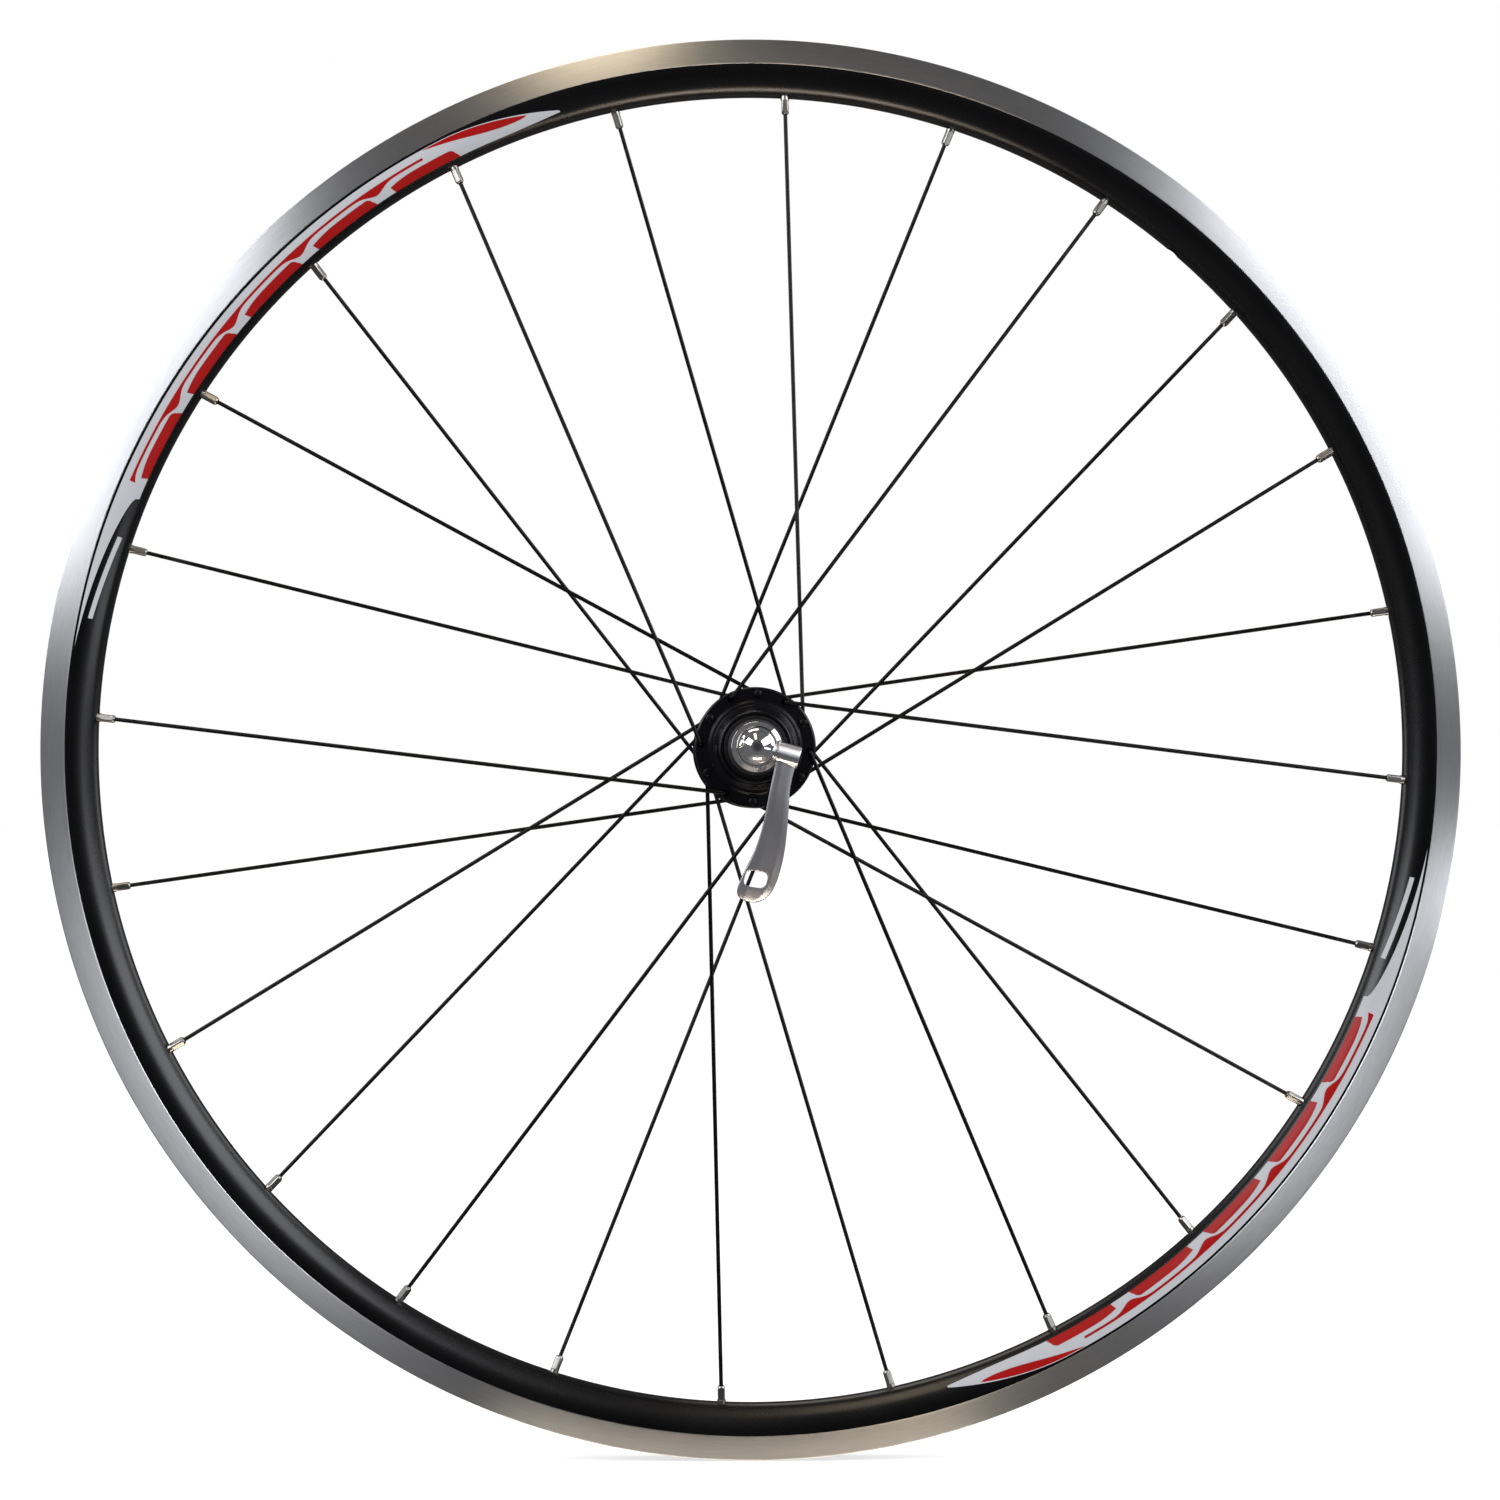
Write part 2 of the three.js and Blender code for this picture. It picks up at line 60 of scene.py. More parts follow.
def spans(node):
    """A node's smallest and largest radius from the axle, and its lowest and highest y, in millimetres."""
    points = np.array([v.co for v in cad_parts[node].data.vertices]) / MM
    radii = np.hypot(points[:, 0], points[:, 2])
    return radii.min(), radii.max(), points[:, 1].min(), points[:, 1].max()


RIM_BED, RIM_EDGE, _, RIM_HALF = spans("rim")
TRACK_INNER = RIM_EDGE - 10.5
SPOKE_COUNT = sum(name.startswith("spoke_with_nipple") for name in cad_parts)
SPOKE_PITCH = 360 / SPOKE_COUNT

# Clock angles: the first nipple, the valve's hole midway between two, and from a nipple to its hub hole.
FIRST_ANGLE = 2.75
VALVE_ANGLE = FIRST_ANGLE + 2.5 * SPOKE_PITCH
CROSS_ANGLE = 60

# The flanges' edge and faces, the circle of their spoke holes, and where the middles of the balls are.
FLANGE_EDGE = spans("hub_shell")[1]
FLANGE_INNER, FLANGE_OUTER = 33.6, 36.4
HOLE_CIRCLE = 23.8
BALL_CIRCLE, BALL_Y = 9, 40

# Radii of a spoke and of the holes, and a nipple seat's radius and distance off the wheel's middle.
WIRE = 0.9
FLANGE_HOLE, NIPPLE_HOLE, KEY_HOLE, VALVE_HOLE = 1.3, 2.5, 3.6, 3.25
NIPPLE_SEAT = RIM_BED + 2.2
NIPPLE_OFFSET = 1.0

# The cam's axis, which leans down from +X, and how far the cam stands off it.
CAM_TILT = math.radians(15)
CAM_Y = -66
CAM_THROW = 1.1

# The clamp rings' toothed faces, and the flat faces of the cap and the nut behind them.
CLAMP_Y = 56.5
CAP_Y = CLAMP_Y + 1.8


# ---- mesh helpers


def polar(radius, angle, y):
    """The point at a clock angle in degrees, a radius from the axle and a height y along it."""
    turn = math.radians(angle)
    return Vector((radius * math.sin(turn), y, radius * math.cos(turn)))


def add_object(name, data):
    obj = bpy.data.objects.new(name, data)
    bpy.context.scene.collection.objects.link(obj)
    return obj


def add_mesh(name, vertices, faces, materials, sharp=32):
    """A new object from points in millimetres, facing out and smooth except at sharp edges."""
    mesh = bpy.data.meshes.new(name)
    mesh.from_pydata([Vector(v) * MM for v in vertices], [], faces)
    for material in materials:
        mesh.materials.append(material)
    return finish_mesh(add_object(name, mesh), sharp)


def finish_mesh(obj, sharp=32):
    """Welds a mesh, turns its faces out and shades it smooth except at edges of sharp degrees or more."""
    built = bmesh.new()
    built.from_mesh(obj.data)
    bmesh.ops.remove_doubles(built, verts=built.verts, dist=1e-8)
    bmesh.ops.recalc_face_normals(built, faces=built.faces)
    built.to_mesh(obj.data)
    built.free()
    obj.data.shade_smooth()
    obj.data.set_sharp_from_angle(angle=math.radians(sharp))
    return obj


def grid_faces(rows, columns, wrap_rows, wrap_columns):
    """Quads over a grid of points numbered row by row."""
    faces = []
    for row in range(rows if wrap_rows else rows - 1):
        here = row * columns
        below = (row + 1) % rows * columns
        for column in range(columns if wrap_columns else columns - 1):
            right = (column + 1) % columns
            faces.append((here + column, here + right, below + right, below + column))
    return faces


def direction_at(points, i):
    """The unit vector from the point before to the point after, which stop at the ends."""
    return Vector(points[min(i + 1, len(points) - 1)] - points[max(i - 1, 0)]).normalized()


def filleted(corners, steps=4):
    """A closed outline from (radius, y, fillet) corners, each rounded by its own fillet."""
    points = []
    for i, (radius, y, fillet) in enumerate(corners):
        here = Vector((radius, y))
        to_last = Vector(corners[i - 1][:2]) - here
        to_next = Vector(corners[(i + 1) % len(corners)][:2]) - here
        half = to_last.angle(to_next) / 2
        if fillet <= 0 or half > math.radians(88):
            points.append((radius, y))
            continue
        reach = min(fillet / math.tan(half), 0.46 * to_last.length, 0.46 * to_next.length)
        start = here + to_last.normalized() * reach
        end = here + to_next.normalized() * reach
        middle = (to_last.normalized() + to_next.normalized()).normalized()
        centre = here + middle * (reach / math.cos(half))
        first = math.atan2(*(start - centre).yx)
        turn = (math.atan2(*(end - centre).yx) - first + math.pi) % (2 * math.pi) - math.pi
        size = (start - centre).length
        for step in range(steps + 1):
            angle = first + turn * step / steps
            points.append((centre.x + size * math.cos(angle), centre.y + size * math.sin(angle)))
    return points


def mirrored(half):
    """A closed outline from the corners of its half on one side of the wheel."""
    return filleted(half + [(radius, -y, fillet) for radius, y, fillet in reversed(half)])


def lathe(name, outline, materials, segments=96, shape=None, closed=True, sharp=32):
    """An outline of (radius, y) points turned about the axle. shape moves a point at an angle in radians."""
    vertices = []
    for s in range(segments):
        turn = 2 * math.pi * s / segments
        for radius, y in outline:
            r, h = shape(radius, turn, y) if shape else (radius, y)
            vertices.append((r * math.sin(turn), h, r * math.cos(turn)))
    faces = grid_faces(segments, len(outline), True, closed)
    return add_mesh(name, vertices, faces, materials, sharp)


def tube(name, sections, materials, sharp=32):
    """A closed skin over sections with the same number of points each, and flat ends."""
    count = len(sections[0])
    vertices = [point for section in sections for point in section]
    faces = grid_faces(len(sections), count, False, True)
    faces.append(tuple(range(count)))
    faces.append(tuple(range(len(vertices) - count, len(vertices))))
    return add_mesh(name, vertices, faces, materials, sharp)


def sweep(name, path, radii, materials, sides=14, sharp=40):
    """A round bar along a path, with a radius at each of its points."""
    path = [Vector(p) for p in path]
    across = direction_at(path, 0).orthogonal().normalized()
    turns = [2 * math.pi * side / sides for side in range(sides)]
    sections = []
    for i, (point, radius) in enumerate(zip(path, radii)):
        tangent = direction_at(path, i)
        across = (across - tangent * across.dot(tangent)).normalized()
        up = tangent.cross(across)
        sections.append([point + radius * (math.cos(turn) * across + math.sin(turn) * up) for turn in turns])
    return tube(name, sections, materials, sharp)


def boolean(obj, other, operation="DIFFERENCE"):
    """obj cut by, or joined with, another object, which is then removed."""
    modifier = obj.modifiers.new("boolean", "BOOLEAN")
    modifier.operation = operation
    modifier.solver = "MANIFOLD"
    modifier.object = other
    apply_modifiers(obj)
    bpy.data.objects.remove(other)
    return obj


def apply_modifiers(obj):
    """Replaces the object's mesh with what its modifiers make of it."""
    evaluated = obj.evaluated_get(bpy.context.evaluated_depsgraph_get())
    made = bpy.data.meshes.new_from_object(evaluated)
    old = obj.data
    obj.modifiers.clear()
    obj.data = made
    made.name = old.name
    bpy.data.meshes.remove(old)


def joined(name, objects):
    """One object holding the meshes of several, which are removed. Each keeps its own material."""
    materials = []
    built = bmesh.new()
    for obj in objects:
        before = len(built.faces)
        built.from_mesh(obj.data)
        built.faces.ensure_lookup_table()
        for material in obj.data.materials:
            if material not in materials:
                materials.append(material)
            for face in built.faces[before:]:
                face.material_index = materials.index(material)
        bpy.data.objects.remove(obj)
    mesh = bpy.data.meshes.new(name)
    built.to_mesh(mesh)
    built.free()
    for material in materials:
        mesh.materials.append(material)
    return add_object(name, mesh)


def paint(obj, first, second, is_second):
    """Two materials: the second is on each face whose middle's x, y and z pass is_second."""
    obj.data.materials.clear()
    obj.data.materials.append(first)
    obj.data.materials.append(second)
    for face in obj.data.polygons:
        face.material_index = 1 if is_second(*(face.center / MM)) else 0


def rod_between(name, start, end, radius, materials=(), sides=32):
    """A straight round bar."""
    return sweep(name, [start, end], [radius, radius], materials, sides)


def radial_rod(name, angle, y, start, end, radius, sides=32):
    """A bar at a clock angle, from one distance off the axle to another, to cut a hole with."""
    return rod_between(name, polar(start, angle, y), polar(end, angle, y), radius, (), sides)


def place(obj, body, slot, *nodes):
    """The piece rides on a body and stands for these CAD nodes, which are hidden. slot is not used."""
    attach(obj, body)
    if nodes:
        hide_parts(*nodes)
    return obj


def into_skewer(obj):
    """Turns a piece drawn with the cam's axis along X to its place."""
    obj.data.transform(Matrix.Rotation(CAM_TILT, 4, "Y"))
    return obj


# ---- materials


def tinted(colour, factor):
    """A colour with each channel multiplied."""
    return tuple(channel * factor for channel in colour)


class Look:
    """A Principled material and short ways to build its node tree."""

    def __init__(self, name, base, metallic, roughness, **sockets):
        self.material = bpy.data.materials.new(name)
        self.material.use_nodes = True
        self.tree = self.material.node_tree
        self.shader = self.tree.nodes["Principled BSDF"]
        self.shader.inputs["Base Color"].default_value = (*base, 1)
        self.shader.inputs["Metallic"].default_value = metallic
        self.shader.inputs["Roughness"].default_value = roughness
        for socket, value in sockets.items():
            self.shader.inputs[socket.replace("_", " ")].default_value = value
        self.place = self.node("ShaderNodeTexCoord").outputs["Object"]

    def node(self, kind, inputs=None, **settings):
        """A new node, whose inputs take values or other nodes' outputs."""
        made = self.tree.nodes.new(kind)
        for key, value in settings.items():
            setattr(made, key, value)
        for socket, value in (inputs or {}).items():
            if isinstance(value, bpy.types.NodeSocket):
                self.tree.links.new(value, made.inputs[socket])
            else:
                made.inputs[socket].default_value = value
        return made

    def math(self, operation, *values):
        return self.node("ShaderNodeMath", dict(enumerate(values)), operation=operation).outputs[0]

    def noise(self, scale, detail=3, vector=None, roughness=0.55):
        inputs = {"Vector": vector or self.place, "Scale": scale, "Detail": detail, "Roughness": roughness}
        return self.node("ShaderNodeTexNoise", inputs).outputs[0]

    def parts(self, vector):
        return self.node("ShaderNodeSeparateXYZ", {"Vector": vector}).outputs

    def stretched(self, scale):
        """The place on the object, scaled along each axis."""
        return self.node("ShaderNodeMapping", {"Vector": self.place, "Scale": scale}).outputs[0]

    def rings(self, radial, angular, axial=0):
        """Coordinates that follow circles about the axle: radius, angle and y, each scaled."""
        x, y, z = self.parts(self.place)
        squares = self.math("ADD", self.math("MULTIPLY", x, x), self.math("MULTIPLY", z, z))
        radius = self.math("MULTIPLY", self.math("SQRT", squares), radial)
        angle = self.math("MULTIPLY", self.math("ARCTAN2", x, z), angular)
        height = self.math("MULTIPLY", y, axial)
        return self.node("ShaderNodeCombineXYZ", {0: radius, 1: angle, 2: height}).outputs[0]

    def grain_across(self, direction):
        """Stretches highlights along a direction on the piece, across the grain of a turned surface."""
        kinds = {"vector_type": "VECTOR", "convert_from": "OBJECT", "convert_to": "WORLD"}
        turned = self.node("ShaderNodeVectorTransform", {"Vector": direction}, **kinds).outputs[0]
        unit = self.node("ShaderNodeVectorMath", {0: turned}, operation="NORMALIZE").outputs[0]
        self.tree.links.new(unit, self.shader.inputs["Tangent"])

    def ramp(self, value, low, high):
        """Spreads a value from 0 to 1 between two numbers or colours. low may be a node's output."""
        if isinstance(high, tuple):
            inputs = {0: value, 6: (*low, 1) if isinstance(low, tuple) else low, 7: (*high, 1)}
            return self.node("ShaderNodeMix", inputs, data_type="RGBA").outputs[2]
        return self.node("ShaderNodeMapRange", {0: value, 3: low, 4: high}).outputs[0]

    def average(self, first, second, share):
        """Two values mixed, with this share of the second."""
        return self.node("ShaderNodeMix", {0: share, 2: first, 3: second}).outputs[0]

    def contrast(self, value, low, high):
        """0 until low is reached and 1 past high, which may be the smaller of the two."""
        return self.node("ShaderNodeMapRange", {0: value, 1: low, 2: high}).outputs[0]

    def colour(self, value):
        self.tree.links.new(value, self.shader.inputs["Base Color"])

    def roughness(self, value):
        self.tree.links.new(value, self.shader.inputs["Roughness"])

    def bump(self, height, strength, distance=0.00005):
        made = self.node("ShaderNodeBump", {"Strength": strength, "Distance": distance, "Height": height})
        self.tree.links.new(made.outputs[0], self.shader.inputs["Normal"])

    def edges(self, low, high):
        """How much a point stands out from the surface round it."""
        return self.contrast(self.node("ShaderNodeNewGeometry").outputs["Pointiness"], low, high)


def anodised(name, base, roughness, grain, gloss=0.32):
    """Black anodised aluminium: a faint turned grain, cloudy gloss and paler worn edges."""
    look = Look(name, base, 0, roughness, Specular_IOR_Level=gloss)
    fine = look.noise(900, 2, look.rings(grain, 3, grain))
    cloud = look.noise(14, 4)
    worn = look.math("MULTIPLY", look.edges(0.55, 0.75), look.contrast(look.noise(160, 4), 0.5, 0.8))
    pale = tuple(channel * 1.8 + 0.0004 for channel in base)
    look.colour(look.ramp(worn, look.ramp(cloud, base, pale), (0.1, 0.1, 0.1)))
    look.roughness(look.ramp(look.average(fine, cloud, 0.6), roughness - 0.07, roughness + 0.12))
    look.bump(fine, 0.12)
    return look.material


def machined_track():
    """The brake track: bare aluminium with a lathe's grain round the rim, which stretches highlights."""
    look = Look("brake_track_aluminium", (0.74, 0.74, 0.75), 1, 0.42, Anisotropic=1)
    cut = look.noise(1, 3, look.rings(9000, 1.5))
    streak = look.noise(1, 4, look.rings(1400, 34))
    patch = look.noise(1, 2, look.rings(8, 2.2))
    look.colour(look.ramp(look.average(cut, streak, 0.65), (0.6, 0.6, 0.61), (0.88, 0.88, 0.88)))
    look.roughness(look.ramp(look.average(streak, patch, 0.5), 0.36, 0.44))
    x, _, z = look.parts(look.place)
    look.grain_across(look.node("ShaderNodeCombineXYZ", {0: x, 2: z}).outputs[0])
    look.bump(cut, 0.1, 0.00002)
    return look.material


def bright_metal(name, base, roughness, scratch, grain_scale, stretch, strength=0.15, spread=0.1):
    """Bare metal with grain along one direction and fine handling marks."""
    look = Look(name, base, 1, roughness)
    grain = look.noise(grain_scale, 3, look.stretched(stretch))
    marks = look.contrast(look.noise(scratch, 5, roughness=0.7), 0.55, 0.75)
    look.colour(look.ramp(look.average(grain, marks, 0.4), base, tinted(base, 0.78)))
    look.roughness(look.ramp(look.average(grain, marks, 0.5), roughness, roughness + spread))
    look.bump(grain, strength, 0.00003)
    return look.material


def turned_forging():
    """The lever's head: turned round the cam's axis, so it shows a bright band along its length."""
    look = Look("lever_head_turned", (0.8, 0.8, 0.82), 1, 0.36, Anisotropic=0.85)
    axis = (math.cos(CAM_TILT), 0, -math.sin(CAM_TILT))
    along = look.node("ShaderNodeVectorMath", {0: look.place, 1: axis}, operation="DOT_PRODUCT").outputs[1]
    fine = look.node("ShaderNodeCombineXYZ", {0: look.math("MULTIPLY", along, 6000)}).outputs[0]
    groove = look.noise(1, 3, fine)
    look.colour(look.ramp(look.noise(260, 4), (0.68, 0.68, 0.7), (0.86, 0.86, 0.88)))
    look.roughness(look.ramp(groove, 0.3, 0.42))
    look.grain_across(axis)
    look.bump(groove, 0.1, 0.00002)
    return look.material


def vinyl(name, base, speckle):
    """Printed vinyl film with a slight orange peel and uneven ink."""
    look = Look(name, base, 0, 0.32, Specular_IOR_Level=0.12, Coat_Weight=0.05, Coat_Roughness=0.12)
    look.colour(look.ramp(look.noise(60, 4), tinted(base, speckle), base))
    look.roughness(look.ramp(look.noise(300, 3), 0.27, 0.4))
    look.bump(look.noise(700, 2), 0.08, 0.00003)
    return look.material


def moulded(name, base, roughness, scale):
    """Moulded rubber or plastic with a fine, slightly uneven skin."""
    look = Look(name, base, 0, roughness)
    grain = look.noise(scale, 4)
    look.colour(look.ramp(grain, tinted(base, 0.75), tinted(base, 1.3)))
    look.roughness(look.ramp(look.noise(scale / 3, 3), roughness - 0.08, roughness + 0.1))
    look.bump(grain, 0.2)
    return look.material


def woven_tape():
    """Cotton rim tape: threads round the rim crossed by threads across it."""
    look = Look("rim_tape_weave", (0.04, 0.08, 0.2), 0, 0.85, Sheen_Weight=0.15)
    _, round_rim, over_rim = look.parts(look.rings(0, 1600, 9000))
    weave = look.math("MULTIPLY", look.math("SINE", round_rim), look.math("SINE", over_rim))
    height = look.contrast(weave, -1, 1)
    look.colour(look.ramp(height, (0.02, 0.04, 0.12), (0.05, 0.1, 0.25)))
    look.bump(height, 0.6, 0.0001)
    return look.material


RIM_BLACK = anodised("rim_satin_black", (0.0003, 0.0003, 0.0005), 0.24, 1, 0.44)
HUB_BLACK = anodised("hub_gloss_black", (0.0004, 0.0004, 0.001), 0.22, 4, 0.34)
CAP_BLACK = anodised("dust_cap_black", (0.0006, 0.0006, 0.0006), 0.4, 4, 0.25)
SPOKE_BLACK = anodised("spoke_black", (0.0005, 0.0005, 0.0005), 0.34, 2, 0.16)
TRACK = machined_track()
NIPPLE_SILVER = bright_metal("nipple_nickel", (0.33, 0.32, 0.3), 0.3, 500, 400, (1, 1, 1))
FORGED = bright_metal("lever_forged_aluminium", (0.66, 0.66, 0.7), 0.38, 260, 420, (1, 1, 0.12), 0.2, 0.1)
TURNED = turned_forging()
CHROME = bright_metal("cap_chrome", (0.9, 0.9, 0.9), 0.035, 320, 900, (1, 1, 1), 0.01, 0.05)
STEEL = bright_metal("ground_steel", (0.6, 0.6, 0.61), 0.26, 300, 700, (1, 4, 1))
ZINC = bright_metal("zinc_plated_steel", (0.42, 0.42, 0.43), 0.33, 260, 300, (1, 1, 1))
BALL_STEEL = bright_metal("ball_steel", (0.82, 0.82, 0.83), 0.06, 400, 500, (1, 1, 1), 0.02, 0.05)
RUBBER = moulded("seal_rubber", (0.004, 0.004, 0.004), 0.6, 900)
NYLON = moulded("lock_nylon", (0.05, 0.2, 0.5), 0.45, 500)
TAPE = woven_tape()
FILM_WHITE = vinyl("film_white", (0.28, 0.285, 0.3), 0.9)
FILM_RED = vinyl("film_red", (0.21, 0.001, 0.0008), 0.82)


# ---- lacing


def lacing():
    """Each spoke's number, nipple angle, flange side, way and hole's angle.

    A spoke that runs forwards round the hub has its head on the flange's outer face.
    """
    for i in range(SPOKE_COUNT):
        side = -1 if i % 2 == 0 else 1
        forwards = (i // 2) % 2 == (0 if side < 0 else 1)
        angle = FIRST_ANGLE + SPOKE_PITCH * i
        yield i, angle, side, forwards, angle + (CROSS_ANGLE if forwards else -CROSS_ANGLE)


# ---- rim

# From SIDE_START, where half the width is SIDE_TOP, each side is a quarter of a superellipse down to the bed.
SIDE_START = TRACK_INNER - 0.25
SIDE_TOP = 9.72
SIDE_POWER = 1.85


def side_y(radius):
    """Half the rim's width at a radius on its black, rounded side."""
    share = max(0.0, min(1.0, (SIDE_START - radius) / (SIDE_START - RIM_BED)))
    return SIDE_TOP * (1 - share**SIDE_POWER) ** (1 / SIDE_POWER)


def rim_outline():
    """The rim's section: the tyre channel's hooks, the tracks and the rounded sides, one half mirrored."""
    edge = RIM_EDGE
    half = RIM_HALF
    hook = [(edge - 9, 4.8, 1.2), (edge - 6.2, 6.6, 0.5), (edge - 6.2, half - 1.4, 0.7),
            (edge - 2.3, half - 1.4, 0.6), (edge - 1.7, half - 2.4, 0.4), (edge, half - 2.4, 0.9),
            (edge, half, 0.55), (TRACK_INNER, half, 0.12), (SIDE_START, SIDE_TOP, 0)]
    upper = [point for point in mirrored(hook) if point[1] > 0]
    steps = 26
    side = []
    for step in range(1, steps + 1):
        turn = math.pi / 2 * step / steps
        share = math.sin(turn) ** (2 / SIDE_POWER)
        radius = SIDE_START - share * (SIDE_START - RIM_BED)
        side.append((radius, SIDE_TOP * max(math.cos(turn), 0) ** (2 / SIDE_POWER)))
    outline = upper + side
    return outline + [(r, -y) for r, y in reversed(outline[:-1])]


def rim_hollow():
    """The section of the closed chamber inside the rim."""
    edge = TRACK_INNER - 0.1
    return mirrored([(edge, 8.1, 1.2), (RIM_BED + 7.2, 7.2, 2.5), (RIM_BED + 2, 3.9, 1.5)])


def build_rim():
    segments = 480
    rim = lathe("rim_skin", rim_outline(), (), segments)
    cutters = []
    for i, angle, side, _, _ in lacing():
        y = side * NIPPLE_OFFSET
        cutters.append(radial_rod(f"cut_{i}", angle, y, RIM_BED - 3, RIM_BED + 5, NIPPLE_HOLE, 24))
        cutters.append(radial_rod(f"cut_top_{i}", angle, y, RIM_EDGE - 14, RIM_EDGE - 6, KEY_HOLE, 24))
    cutters.append(radial_rod("cut_valve", VALVE_ANGLE, 0, RIM_BED - 4, RIM_EDGE - 5, VALVE_HOLE))
    boolean(rim, lathe("hollow", rim_hollow(), (), segments))
    boolean(rim, joined("cutters", cutters))
    finish_mesh(rim, 28)

    def machined(x, y, z):
        """The brake tracks, and the edges beyond them."""
        radius = math.hypot(x, z)
        return radius > RIM_EDGE - 1.6 or (abs(y) > SIDE_TOP + 0.002 and radius > TRACK_INNER - 0.2)

    paint(rim, RIM_BLACK, TRACK, machined)
    return place(rim, "wheel", "rim_black", "rim")


def build_tape():
    inner, outer, low, high = spans("rim_tape")
    corners = [(inner, low, 0.1), (inner, high, 0.1), (outer, high, 0.2), (outer, low, 0.2)]
    tape = lathe("rim_tape_skin", filleted(corners), [TAPE], 480)
    hole = radial_rod("cut_tape", VALVE_ANGLE, 0, inner - 3, outer + 3, VALVE_HOLE)
    return place(finish_mesh(boolean(tape, hole)), "wheel", "tape", "rim_tape")


# ---- hub and its bearings


def build_hub():
    half = [(12.6, 8, 8), (13.6, 22, 10), (19.4, FLANGE_INNER, 1.6), (FLANGE_EDGE - 0.2, FLANGE_INNER, 0.7),
            (FLANGE_EDGE, FLANGE_OUTER, 0.9), (20.6, FLANGE_OUTER - 0.2, 0.35),
            (20.3, FLANGE_OUTER + 1.5, 0.5), (18.6, FLANGE_OUTER + 1.7, 0.25), (17, FLANGE_OUTER + 3.6, 0.5),
            (16.4, 43.6, 0.25), (15.6, 45.6, 0.4), (14.4, 45.6, 0.2), (14.4, 43.9, 0), (13.6, 43.9, 0),
            (13.6, 35.6, 0), (9.2, 35.6, 0)]
    hub = lathe("hub_skin", mirrored(half), [HUB_BLACK], 192)
    cutters = []
    for i, _, side, _, hole_angle in lacing():
        start = polar(HOLE_CIRCLE, hole_angle, side * (FLANGE_INNER - 2))
        end = polar(HOLE_CIRCLE, hole_angle, side * (FLANGE_OUTER + 2))
        cutters.append(rod_between(f"cut_hub_{i}", start, end, FLANGE_HOLE, (), 20))
    boolean(hub, joined("hub_cutters", cutters))
    return place(finish_mesh(hub, 28), "wheel", "hub_black", "hub_shell")


def race_arc(first, last, steps):
    """Points of the ball race's arc about the middle of a ball."""
    reach = 2.62
    for step in range(steps + 1):
        turn = math.radians(first + (last - first) * step / steps)
        yield BALL_CIRCLE + reach * math.cos(turn), BALL_Y + reach * math.sin(turn), 0


def thread(core, depth, pitch, low, high):
    """Shapes a lathe's points between two heights into a screw thread."""

    def shape(radius, turn, y):
        if radius < core - 0.5 or not low < y < high:
            return radius, y
        phase = (y / pitch - turn / (2 * math.pi)) % 1
        return radius - depth * abs(2 * phase - 1), y

    return shape


def build_axle():
    inner, outer, low, high = spans("hub_axle")
    heights = np.concatenate([np.arange(low + 0.4, low + 8, 0.125), np.arange(high - 8, high - 0.3, 0.125)])
    outline = [(inner, low), (outer - 0.5, low)]
    outline += [(outer, y) for y in heights]
    outline += [(outer - 0.5, high), (inner, high)]
    left_thread = thread(outer, 0.42, 1.0, low + 0.3, low + 7.5)
    right_thread = thread(outer, 0.42, 1.0, high - 7.5, high - 0.3)

    def both_threads(radius, turn, y):
        return (left_thread if y < 0 else right_thread)(radius, turn, y)

    axle = lathe("hub_axle_skin", outline, [ZINC], 64, both_threads)
    return place(axle, "axle", "dark_steel", "hub_axle")


def flats(count, across, from_radius, low=-math.inf, high=math.inf):
    """Shapes a lathe's outer points between two heights into flats, this far across."""
    half = math.pi / count

    def shape(radius, turn, y):
        if radius < from_radius or not low < y < high:
            return radius, y
        off = (turn + half) % (2 * half) - half
        return min(radius, across / 2 / math.cos(off)), y

    return shape


def build_ball_set(side, sign):
    """Ten balls in a thin cage."""
    count = 10
    size = 2.38
    half_circle = [(size * math.sin(turn), size * math.cos(turn)) for turn in np.linspace(0, math.pi, 13)]
    balls = []
    for i in range(count):
        ball = lathe(f"ball_{i}", half_circle, [BALL_STEEL], 24, closed=False)
        ball.data.transform(Matrix.Translation(polar(BALL_CIRCLE, 360 / count * i, sign * BALL_Y) * MM))
        balls.append(ball)
    y = sign * (BALL_Y + 1.6)
    cage = filleted([(8.1, y - 0.3, 0.1), (9.9, y - 0.3, 0.1), (9.9, y + 0.3, 0.1), (8.1, y + 0.3, 0.1)])
    balls.append(lathe("cage", cage, [BALL_STEEL], 64))
    obj = finish_mesh(joined(f"{side}_balls_skin", balls), 50)
    return place(obj, f"{side}_balls", "chrome", f"{side}_ball_set")


